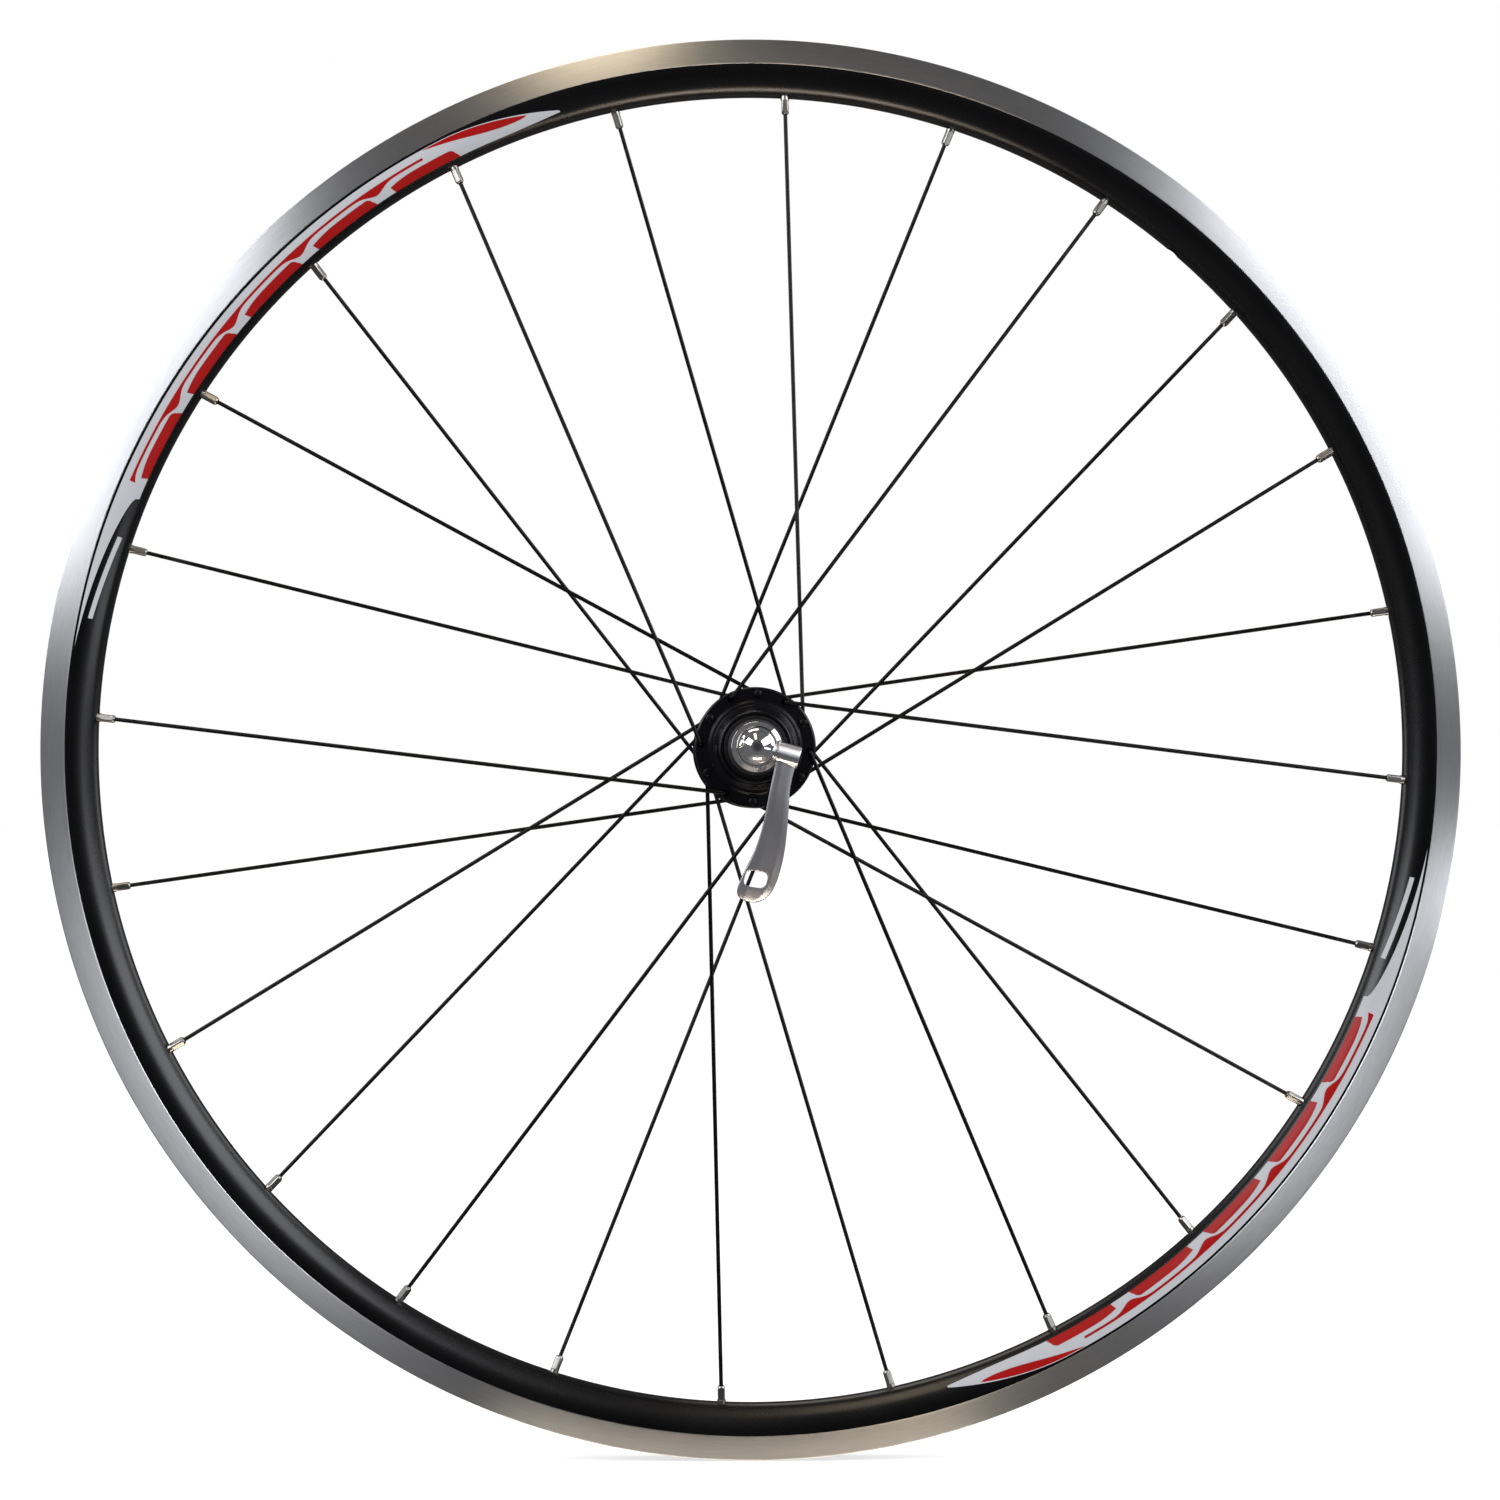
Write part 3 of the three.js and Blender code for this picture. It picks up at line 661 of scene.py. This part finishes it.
def build_bearing(side, sign):
    """The cup, cone, washer, locknut, seal, dust cap and balls of one side."""
    cup = [(13.3, 35.9, 0.3), (13.3, 43.6, 0.3), (12.4, 43.6, 0.3), *race_arc(0, -90, 8), (7.8, 37.3, 0.2),
           (7.8, 35.9, 0.3)]
    cone = [(4.8, 38.4, 0.2), (6, 38.4, 0.3), *race_arc(180, 112, 8), (8.2, 43.2, 0.3), (7.6, 44.6, 0.3),
            (4.8, 44.6, 0.2)]
    cap = [(8.9, 44.3, 0.2), (14.1, 44.3, 0.3), (14.1, 45.2, 0.3), (12.2, 45.5, 0.3), (11.6, 45.1, 0.3),
           (9.8, 45.3, 0.3), (8.9, 45.7, 0.2)]
    washer = [(4.8, 44.9, 0.1), (7.4, 44.9, 0.2), (7.4, 45.9, 0.2), (4.8, 45.9, 0.1)]
    nut = [(4.8, 46.2, 0.3), (8.6, 46.2, 0.3), (8.6, 49.2, 0), (8.2, 50, 0.1), (4.8, 50, 0.3)]
    seal = [(9.1, 46.3, 0.3), (12.4, 46.3, 0.3), (12.2, 47, 0.4), (11.2, 47.4, 0.3), (10.6, 48.4, 0.4),
            (9.1, 48.6, 0.3)]
    for part, outline, material, body, slot, shape in (
        ("bearing_cup", cup, STEEL, "wheel", "steel", None),
        ("cone", cone, STEEL, "axle", "steel", None),
        ("dust_cap", cap, CAP_BLACK, "wheel", "hub_black", None),
        ("lock_washer", washer, STEEL, "axle", "steel", None),
        ("locknut", nut, ZINC, "axle", "dark_steel", flats(6, 14.9, 5.5)),
        ("axle_seal", seal, RUBBER, "axle", "rubber", None),
    ):
        points = filleted(outline)
        node = f"{side}_{part}"
        obj = lathe(f"{node}_skin", [(r, sign * y) for r, y in points], [material], 96, shape)
        place(obj, body, slot, node)
    build_ball_set(side, sign)


# ---- spokes and nipples


def elbow_path(seat, elbow, head, bend=1.6, steps=8):
    """From inside the nipple straight to the elbow, round it, and on to the spoke's head."""
    to_seat = (seat - elbow).normalized()
    to_head = (head - elbow).normalized()
    half = to_seat.angle(to_head) / 2
    reach = bend / math.tan(half)
    centre = elbow + (to_seat + to_head).normalized() * (bend / math.sin(half))
    start = elbow + to_seat * reach - centre
    end = elbow + to_head * reach - centre
    arc = [centre + start.slerp(end, step / steps) for step in range(steps + 1)]
    inside = seat + to_seat * 1.5
    return [inside + (arc[0] - inside) * share for share in (0, 0.25, 0.5, 0.75)] + arc


# A spoke's head as (height, radius), from just inside its hole to the top.
HEAD = (-0.35, WIRE), (0, 1.35), (0.12, 1.75), (0.4, 1.85), (0.75, 1.7), (1, 1.25), (1.12, 0.6)


def build_spoke(i, angle, side, forwards, hole_angle):
    """One spoke. Returns its nipple's seat and the direction from there to the elbow."""
    seat = polar(NIPPLE_SEAT, angle, side * NIPPLE_OFFSET)
    elbow_y = FLANGE_INNER - WIRE - 0.3 if forwards else FLANGE_OUTER + WIRE + 0.7
    head_y = FLANGE_OUTER + 0.05 if forwards else FLANGE_INNER - 0.05
    out = 1 if forwards else -1
    elbow = polar(HOLE_CIRCLE, hole_angle, side * elbow_y)
    head = polar(HOLE_CIRCLE, hole_angle, side * head_y)
    path = elbow_path(seat, elbow, head)
    radii = [WIRE] * len(path)
    axis = Vector((0, side * out, 0))
    for height, radius in HEAD:
        path.append(head + axis * height)
        radii.append(radius)
    spoke = sweep(f"spoke_{i + 1:02d}", path, radii, [SPOKE_BLACK], 16, 50)
    place(spoke, "wheel", "spoke_black", f"spoke_with_nipple_{i + 1:02d}")
    return seat, (elbow - seat).normalized()


def build_nipple(i, seat, inwards):
    """Drawn along Y from its seat to the hub, with flats for a key, then turned on to its spoke's line."""
    neck = 1.96
    corners = [(1.05, -3.2, 0.1), (2.2, -3.3, 0.6), (3, -2.6, 0.4), (3, -0.9, 0.5), (neck, 0.1, 0.3),
               (neck, 3.1, 0.05), (neck, 3.3, 0.05), (neck, 8.6, 0.05), (1.72, 8.9, 0.2), (1.5, 9.4, 0.2),
               (1.25, 9.6, 0.1), (0.95, 9.5, 0.05)]
    key = flats(4, 3.24, 1.3, 3.2, 8.9)
    nipple = lathe(f"nipple_{i + 1:02d}", filleted(corners, 3), [NIPPLE_SILVER], 48, key, sharp=24)
    turn = Vector((0, 1, 0)).rotation_difference(inwards).to_matrix().to_4x4()
    nipple.data.transform(Matrix.Translation(seat * MM) @ turn)
    return place(nipple, "wheel", "spoke_black")


# ---- stickers


def on_side(radius, angle, side, lift):
    """A point a little above the rim's rounded black side."""
    step = 0.05
    slope = (side_y(radius + step) - side_y(radius - step)) / (2 * step)
    away = Vector((-slope, 1)).normalized() * lift
    return polar(radius + away.x, angle, side * (side_y(radius) + away.y))


FILM_LOW, FILM_HIGH = RIM_BED + 3.1, TRACK_INNER - 1.3
FILM_THICKNESS = 0.04


def patch(name, corner, side, bottom, material, columns):
    """A closed film on the rim's side. corner(u, v) gives its angle and radius for u and v from 0 to 1."""
    rows = 5
    vertices = []
    for lift in (bottom, bottom + FILM_THICKNESS):
        for row in range(rows + 1):
            for column in range(columns + 1):
                angle, radius = corner(column / columns, row / rows)
                vertices.append(on_side(radius, angle, side, lift))
    wide = columns + 1
    layer = wide * (rows + 1)
    sheet = grid_faces(rows + 1, wide, False, False)
    faces = sheet + [tuple(i + layer for i in face) for face in sheet]
    border = [*range(columns), *(wide * row + columns for row in range(rows))]
    border += [layer - 1 - point for point in border]
    for a, b in zip(border, border[1:] + border[:1]):
        faces.append((a, b, b + layer, a + layer))
    return add_mesh(name, vertices, faces, [material])


def build_sticker(name, first, side):
    """A white film tapered at both ends, with a red leaf, a red ribbon, red bars and a plain white bar.

    It runs anticlockwise, seen from the lever's side, from first, the clock angle of its leaf-shaped end.
    Places along it are shares of its length, and heights go from 0 at FILM_LOW to 1 at FILM_HIGH.
    """
    length = 64
    lean = -0.012
    white_end = 0.8
    ribbon_start, ribbon_end = 0.185, 0.77
    leaf_start, leaf_end = 0.035, 0.18
    first_bar, pitch, bar_length, bars = 0.15, 0.13, 0.1, 5
    pieces = []

    def film(material, start, end, inner, outer, lean=0, layer=1, columns=48):
        """A strip between two shares of the length and two heights, which may change along it."""

        def corner(u, v):
            low = inner(u) if callable(inner) else inner
            high = outer(u) if callable(outer) else outer
            height = low + (high - low) * v
            share = start + (end - start) * u + lean * (1 - height)
            return first - length * share, FILM_LOW + (FILM_HIGH - FILM_LOW) * height

        bottom = 0.03 + FILM_THICKNESS * (layer - 1)
        pieces.append(patch(f"film_{len(pieces)}", corner, side, bottom, material, columns))

    def tip(share, reach, power):
        """1 at the leaf-shaped end, falling to 0 at a share of the length."""
        return max(0.0, 1 - share / reach) ** power

    def film_low(share):
        return 0.2 * tip(share, 0.1, 2)

    def film_top(share):
        return 1 - 0.72 * tip(share, 0.15, 1.7)

    def bar_top(u):
        nose = math.sqrt(max(0.0, 1 - (1 - min(u / 0.07, 1)) ** 2))
        return 0.05 + 0.34 * nose * (1 - 0.35 * max(0.0, (u - 0.6) / 0.4) ** 2)

    def near_gap(share):
        """1 between two bars, falling to 0 a little way from there."""
        from_gap = (share - first_bar + 0.018 + pitch / 2) % pitch - pitch / 2
        return math.exp(-((from_gap / 0.016) ** 2)) if share > first_bar else 0

    def ribbon_low(u):
        return 0.58 - 0.27 * near_gap(ribbon_start + (ribbon_end - ribbon_start) * u)

    def leaf_top(u):
        return film_top(leaf_start + (leaf_end - leaf_start) * u) - 0.03

    def leaf_low(u):
        return leaf_top(u) - 0.01 - 0.36 * math.sin(math.pi * u**0.75)

    film(FILM_WHITE, 0, white_end, lambda u: film_low(white_end * u), lambda u: film_top(white_end * u), lean,
         columns=160)
    for number in range(bars):
        start = first_bar + pitch * number
        film(FILM_RED, start, start + bar_length, 0, bar_top, lean, 2)
    film(FILM_RED, ribbon_start, ribbon_end, ribbon_low, 0.685, layer=2, columns=200)
    film(FILM_RED, leaf_start, leaf_end, leaf_low, leaf_top, layer=2)
    film(FILM_WHITE, white_end, 1, lambda u: 0.15 + 0.85 * u**0.6, 1, lean)
    film(FILM_WHITE, 0.845, 0.96, lambda u: 0.1 + 0.34 * u, lambda u: 0.3 + 0.34 * u)
    return place(joined(name, pieces), "wheel", "rim_black")


def build_stickers():
    """Two films on each side, each opposite the other."""
    for side, side_name in ((-1, "left"), (1, "right")):
        for which, first in (("upper", 342.5), ("lower", 162.5)):
            build_sticker(f"{side_name}_{which}_sticker", first, side)


# ---- quick release


def build_rod():
    """The skewer's rod, threaded at the nut's end, with its flat eye round the cam."""
    end = spans("skewer_rod")[3]
    eye_y = CAM_Y - CAM_THROW
    radius = 2.4
    thread_start = 42
    outline = [(0, eye_y + 4.4), (radius, eye_y + 4.4), (radius, thread_start - 0.5)]
    outline += [(radius, y) for y in np.arange(thread_start, end - 0.4, 0.1)]
    outline += [(radius - 0.5, end), (0, end)]
    ridge = thread(radius, 0.35, 0.8, thread_start, end - 0.3)
    rod = lathe("skewer_rod_skin", outline, [STEEL], 40, ridge, closed=False)
    boolean(rod, elliptic_disc("eye", 5.6, 6.1, 2.3, eye_y), "UNION")
    boolean(rod, elliptic_disc("eye_hole", 3.5, 4.5, 4, eye_y))
    return place(into_skewer(finish_mesh(rod, 28)), "skewer", "steel", "skewer_rod")


def elliptic_disc(name, reach_y, reach_z, half, y):
    """A disc about the cam's axis, from -half to half along it."""
    disc = rod_between(name, (-half, 0, 0), (half, 0, 0), 1, [STEEL], 64)
    disc.data.transform(Matrix.Translation((0, y * MM, 0)) @ Matrix.Diagonal((1, reach_y, reach_z, 1)))
    return disc


def build_housing():
    """The polished cap: a flange, a waist and a round dome, bored across for the lever's shaft.

    A retaining pin's round end stands in a recess on the shoulder across from the lever.
    """
    face = -CAP_Y
    dome = 8.6
    centre = face - 10
    corners = [(10.2, face, 0.3), (11, face - 0.5, 0.5), (11, face - 2, 0.6), (9.7, face - 3.2, 0.5),
               (9.2, face - 3.7, 0.3), (dome, face - 4.4, 0.5), (dome, centre, 0)]
    outline = [(0, face)] + [p for p in filleted([(0, face, 0), *corners, (0, centre, 0)], 6) if p[0] > 0.01]
    outline += [(dome * math.cos(a), centre - dome * math.sin(a)) for a in np.linspace(0.04, math.pi / 2, 28)]
    outline[-1] = (0, centre - dome)
    housing = lathe("cam_housing_skin", outline, [CHROME], 160, closed=False)
    boolean(housing, rod_between("seat", (0, face - 1.8, 0), (0, face + 2, 0), 7, (), 64))
    slot = lathe("slot", [(0, face + 3), (8.7, face + 3), (8.7, -73), (0, -73)], [], 4, closed=False)
    slot.data.transform(Matrix.Scale(0.37, 4, (1, 0, 0)) @ Matrix.Rotation(math.pi / 4, 4, "Y"))
    boolean(housing, slot)
    boolean(housing, rod_between("bore", (0, CAM_Y, 0), (16, CAM_Y, 0), 4.75, (), 96))
    boolean(housing, rod_between("tail_bore", (-6.6, CAM_Y, 0), (1, CAM_Y, 0), 2.2, (), 48))
    pin_lean = math.radians(58)
    shoulder = Vector((-math.sin(pin_lean), -math.cos(pin_lean), 0))
    middle = Vector((0, centre, 0))
    boolean(housing, rod_between("recess", middle + shoulder * 7.8, middle + shoulder * 11, 2.15, (), 64))
    pin_path = [middle + shoulder * reach for reach in (7.5, 8.1, 8.35, 8.5, 8.56)]
    boolean(housing, sweep("pin", pin_path, (1.65, 1.65, 1.4, 0.9, 0.3), [CHROME], 48), "UNION")
    return place(into_skewer(finish_mesh(housing, 30)), "cam_housing", "chrome", "cam_housing")


# The arm's centreline from the head to the tip as (x, y, z), with its width and thickness there.
ARM = np.array([
    (13.9, -66.0, 0.0, 8.8, 7.2),
    (13.9, -66.0, -5.5, 8.5, 6.5),
    (14.0, -65.9, -9.6, 8.4, 5.8),
    (14.4, -65.4, -15.0, 8.6, 5.3),
    (15.2, -64.5, -20.5, 9.3, 5.0),
    (16.6, -61.8, -31.2, 10.8, 4.6),
    (17.3, -58.0, -42.0, 12.6, 4.3),
    (16.6, -54.2, -52.0, 14.6, 4.1),
    (15.6, -51.9, -58.5, 14.9, 3.9),
    (14.6, -50.4, -62.6, 13.0, 3.3),
    (14.0, -49.6, -65.0, 8.8, 2.4),
    (13.9, -49.4, -65.9, 4.0, 1.6),
])


def smooth_rows(rows, per_span):
    """Rows interpolated by a Catmull-Rom curve."""
    padded = np.vstack([2 * rows[0] - rows[1], rows, 2 * rows[-1] - rows[-2]])
    out = []
    for i in range(1, len(padded) - 2):
        a, b, c, d = padded[i - 1 : i + 3]
        for t in np.linspace(0, 1, per_span, endpoint=False):
            square = 2 * a - 5 * b + 4 * c - d
            cube = 3 * b - a - 3 * c + d
            out.append(0.5 * (2 * b + (c - a) * t + square * t**2 + cube * t**3))
    return np.array(out + [rows[-1]])


def arm_section(width, thickness, lean):
    """The arm's section: a low crest left of the middle, a face leaning off to its right, and a flat back."""
    half, front = width / 2, thickness / 2
    crest, shoulder = -0.42 * half, 0.58 * half
    shoulder_front = front - (shoulder - crest) * math.tan(lean)
    corners = [(-half, -front, 0.7), (-half, front - 0.1 * (half + crest), 0.5), (crest, front, 1.2),
               (shoulder, shoulder_front, 1), (half, shoulder_front - 0.3 * (half - shoulder), 0.5),
               (half, -front, 0.7)]
    return filleted(corners, 3)


def build_arm():
    rows = smooth_rows(ARM, 6)
    sections = []
    for i, (x, y, z, width, thickness) in enumerate(rows):
        along = direction_at(rows[:, :3], i)
        slope = math.atan2(along.y, -along.z)
        near_head = min(max((z + 37) / 19, 0), 1)
        lean = math.radians(2.5 + 8 * near_head)
        outline = arm_section(width, thickness, lean)
        sections.append([(x + u, y - v * math.cos(slope), z - v * math.sin(slope)) for u, v in outline])
    return tube("lever_arm", sections, [FORGED])


def build_lever():
    """The forged lever with its shaft and cam. Head and arm are remeshed to meet in soft fillets."""
    head_start = 8.9
    lever = build_arm()

    def add_round(name, start, end, radius, sides, y=CAM_Y):
        boolean(lever, rod_between(name, (start, y, 0), (end, y, 0), radius, [FORGED], sides), "UNION")

    add_round("lever_head", head_start, 18.9, 4.85, 96)
    boolean(lever, window_cutter())
    remesh = lever.modifiers.new("fillets", "REMESH")
    remesh.mode = "VOXEL"
    remesh.voxel_size = 0.28 * MM
    soften = lever.modifiers.new("soften", "SMOOTH")
    soften.factor = 0.5
    soften.iterations = 9
    apply_modifiers(lever)
    add_round("shaft", 2.5, 10, 4.4, 96)
    add_round("cam", -2.7, 3.3, 3, 64, CAM_Y - CAM_THROW)
    add_round("tail", -6, 0, 1.8, 48)
    finish_mesh(lever, 40)

    def on_head(x, y, z):
        return x > head_start - 0.1 and z > -3.4 and math.hypot(y - CAM_Y, z) < 5

    paint(lever, FORGED, TURNED, on_head)
    lever.name = "cam_lever_skin"
    return place(into_skewer(lever), "lever", "forged", "cam_lever")


def window_cutter():
    """A rounded opening through the arm near its tip, wider across than along."""
    steps = 48
    middle_x, middle_z = 14.7, -55.6
    points = []

    def squared_off(value):
        return math.copysign(abs(value) ** 0.6, value)

    for step in range(steps):
        turn = 2 * math.pi * step / steps
        u = 4.9 * squared_off(math.cos(turn))
        v = 3.6 * squared_off(math.sin(turn))
        points.append((middle_x + u, middle_z + v + 0.09 * u))
    return tube("window", [[(x, y, z) for x, z in points] for y in (-70, -38)], [])


def build_spring(side, sign):
    """A conical spring from a small end to a wide end. It is not attached to any body."""
    turns = 3.4
    steps = 180
    start, end = 54.75, 59.6
    path = []
    for step in range(steps + 1):
        share = step / steps
        squeeze = share * share * (3 - 2 * share)
        path.append(polar(3.4 + 2.8 * share, 360 * turns * share, sign * (start + (end - start) * squeeze)))
    spring = into_skewer(sweep(f"{side}_spring_skin", path, [0.42] * len(path), [STEEL], 12))
    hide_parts(f"{side}_spring")
    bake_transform(spring)


def build_clamp_ring(node, body, face_y):
    """A hard ring with radial teeth in the face that bites on a dropout."""
    teeth = 30
    outwards = math.copysign(1, face_y)
    back = face_y + 1.5 * outwards

    def shape(radius, turn, y):
        if abs(y - face_y) > 0.2:
            return radius, y
        phase = (turn * teeth / (2 * math.pi)) % 1
        return radius, y + outwards * 0.35 * abs(2 * phase - 1)

    corners = [(7.3, face_y, 0), (10.6, face_y, 0), (10.8, face_y + outwards * 0.4, 0), (10.8, back, 0.2),
               (7.3, back, 0.1)]
    ring = lathe(f"{node}_skin", filleted(corners), [ZINC], 240, shape, sharp=20)
    return place(into_skewer(ring), body, "dark_steel", node)


def build_nut():
    """The adjusting nut with its fluted grip, and the nylon insert that locks it."""
    base = CAP_Y
    bore = 2.75
    flutes = 18
    corners = [(bore, base + 2, 0.1), (7, base + 2, 0.1), (7, base, 0.1), (10.6, base, 0.2),
               (10.8, base + 0.4, 0.2), (10.8, base + 2, 0.4), (9.6, base + 2.9, 0.4), (8.4, base + 3.8, 0.3),
               (8.3, base + 4.2, 0), (7.5, base + 10.6, 0), (7.3, base + 11.2, 0.3), (6, base + 12.2, 0.4),
               (4.5, base + 12.2, 0.2), (4.5, base + 7.4, 0), (bore, base + 7.4, 0.1)]

    def grips(radius, turn, y):
        if not base + 4 < y < base + 10.8 or radius < 5:
            return radius, y
        return radius - 0.5 * (0.5 + 0.5 * math.cos(flutes * turn)) ** 1.6, y

    outline = []
    points = filleted(corners)
    for (r0, y0), (r1, y1) in zip(points, points[1:] + points[:1]):
        pieces = max(1, int(math.hypot(r1 - r0, y1 - y0) / 0.5))
        outline += [(r0 + (r1 - r0) * k / pieces, y0 + (y1 - y0) * k / pieces) for k in range(pieces)]
    nut = lathe("adjusting_nut_skin", outline, [CHROME], 288, grips)
    place(into_skewer(nut), "nut", "chrome", "adjusting_nut")
    low, high = base + 7.8, base + 10.4
    ring = [(bore, low, 0.2), (4.15, low, 0.2), (4.15, high, 0.3), (bore, high, 0.3)]
    insert = lathe("nut_lock_insert_skin", filleted(ring), [NYLON], 64)
    place(into_skewer(insert), "nut", "nylon", "nut_lock_insert")


# ---- stage, light and camera


def build_stage():
    """A plain pale floor that glows, so it is as bright as the world behind it and no horizon shows. The glow
    is painted light that keeps the wheel's shadow on it faint.
    """
    floor_z = -RIM_EDGE - 0.4
    reach = 40000
    vertices = [(x, y, floor_z) for y in (-reach, reach) for x in (-reach, reach)]
    # Painted light: the floor glows, which fills in the shadows that fall on it.
    look = Look("pale_floor", (0.3, 0.3, 0.3), 0, 0.9, Emission_Color=(1, 1, 1, 1), Emission_Strength=0.72)
    look.colour(look.ramp(look.noise(3, 3), (0.29, 0.29, 0.29), (0.31, 0.31, 0.31)))
    floor = add_mesh("studio_floor", vertices, grid_faces(2, 2, False, False), [look.material])
    floor.visible_glossy = False


def towards(clock, off_axis, distance):
    """The point seen from the hub at a clock angle and at an angle off the axle's lever end."""
    off = math.radians(off_axis)
    around = math.radians(clock)
    across = math.sin(off)
    return Vector((math.sin(around) * across, -math.cos(off), math.cos(around) * across)) * distance


def add_softbox(name, clock, off_axis, distance, size, radiance, colour=(1, 1, 1)):
    """A flat light aimed at the hub. size is its width round the axle and height away from it, in metres."""
    place_at = towards(clock, off_axis, distance)
    back = place_at.normalized()
    up = (towards(clock, off_axis + 1, distance) - place_at).normalized()
    light = bpy.data.lights.new(f"softbox_{name}", "AREA")
    light.shape = "RECTANGLE"
    light.size, light.size_y = size
    light.energy = radiance * math.pi * size[0] * size[1]
    light.color = colour
    obj = add_object(light.name, light)
    obj.matrix_world = Matrix.Translation(place_at) @ Matrix((up.cross(back), up, back)).transposed().to_4x4()
    obj.visible_camera = False


SHELL_GREY = (0.135, 0.135, 0.14)
SHELL_DARK = (0.04, 0.04, 0.042)
FLOOR_GLOW = (0.4, 0.37, 0.33)


def build_reflector():
    """A shell that only reflections see: grey, darkest in front of the wheel and paler underneath."""
    shell = bmesh.new()
    bmesh.ops.create_icosphere(shell, subdivisions=4, radius=7)
    bmesh.ops.reverse_faces(shell, faces=shell.faces)
    mesh = bpy.data.meshes.new("studio_shell")
    shell.to_mesh(mesh)
    shell.free()
    look = Look("studio_shell_grey", SHELL_GREY, 0, 1)
    _, y, z = look.parts(look.place)
    colour = look.ramp(look.contrast(y, -5.4, -6.8), SHELL_GREY, SHELL_DARK)
    colour = look.ramp(look.contrast(z, -5, -6.6), colour, FLOOR_GLOW)
    emission = look.node("ShaderNodeEmission", {"Color": colour}).outputs[0]
    look.tree.links.new(emission, look.tree.nodes["Material Output"].inputs["Surface"])
    look.tree.nodes.remove(look.shader)
    mesh.materials.append(look.material)
    obj = add_object("studio_shell", mesh)
    obj.visible_camera = obj.visible_diffuse = obj.visible_shadow = obj.visible_transmission = False


def build_lights():
    world = bpy.data.worlds.new("studio")
    bpy.context.scene.world = world
    world.use_nodes = True
    world.cycles.sampling_method = "NONE"
    background = world.node_tree.nodes["Background"]
    background.inputs[0].default_value = (1, 1, 1, 1)
    background.inputs[1].default_value = 1
    build_reflector()
    cool = (0.93, 0.95, 1)
    add_softbox("left", 301.5, 57, 1.6, (0.8, 1.1), 6.5, cool)
    add_softbox("right", 58.5, 62, 1.7, (0.96, 1.9), 4.7, cool)
    add_softbox("strip", 101, 60, 1.7, (0.17, 1.2), 5.4, cool)
    add_softbox("warm_top", 349, 62, 1.3, (0.2, 0.9), 5.2, (1, 0.83, 0.58))
    add_softbox("low", 180, 74, 1.4, (0.95, 0.24), 15.5, (1, 0.84, 0.66))
    add_softbox("back_left", 290, 114, 1.9, (1.4, 0.8), 2.2)
    add_softbox("back_right", 66, 108, 1.9, (1.4, 1.2), 2.2)
    add_softbox("back_top", 348, 118, 1.9, (1.0, 0.6), 3, (1, 0.94, 0.84))


def build_camera():
    data = bpy.data.cameras.new("photo_camera")
    data.lens = 99
    data.sensor_width = 36
    data.shift_x = -0.0021
    data.shift_y = -0.0009
    camera = add_object("photo_camera", data)
    camera.location = (-0.048, -1.849, -0.023)
    camera.rotation_euler = (-camera.location).to_track_quat("-Z", "Y").to_euler()
    bpy.context.scene.camera = camera


def build_wheel():
    build_rim()
    build_tape()
    build_hub()
    build_axle()
    for side, sign in (("left", -1), ("right", 1)):
        build_bearing(side, sign)
    for i, angle, side, forwards, hole_angle in lacing():
        build_nipple(i, *build_spoke(i, angle, side, forwards, hole_angle))
    build_stickers()
    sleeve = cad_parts["rim_joint_sleeve"]
    sleeve.data.materials.clear()
    sleeve.data.materials.append(STEEL)


def build_quick_release():
    build_rod()
    build_housing()
    build_clamp_ring("lever_clamp_ring", "cam_housing", -CLAMP_Y)
    build_lever()
    build_spring("left", -1)
    build_clamp_ring("nut_clamp_ring", "nut_ring", CLAMP_Y)
    build_nut()
    build_spring("right", 1)


build_wheel()
build_quick_release()
build_stage()
build_lights()
build_camera()
bpy.context.scene.view_settings.view_transform = "Standard"

bpy.context.view_layer.update()
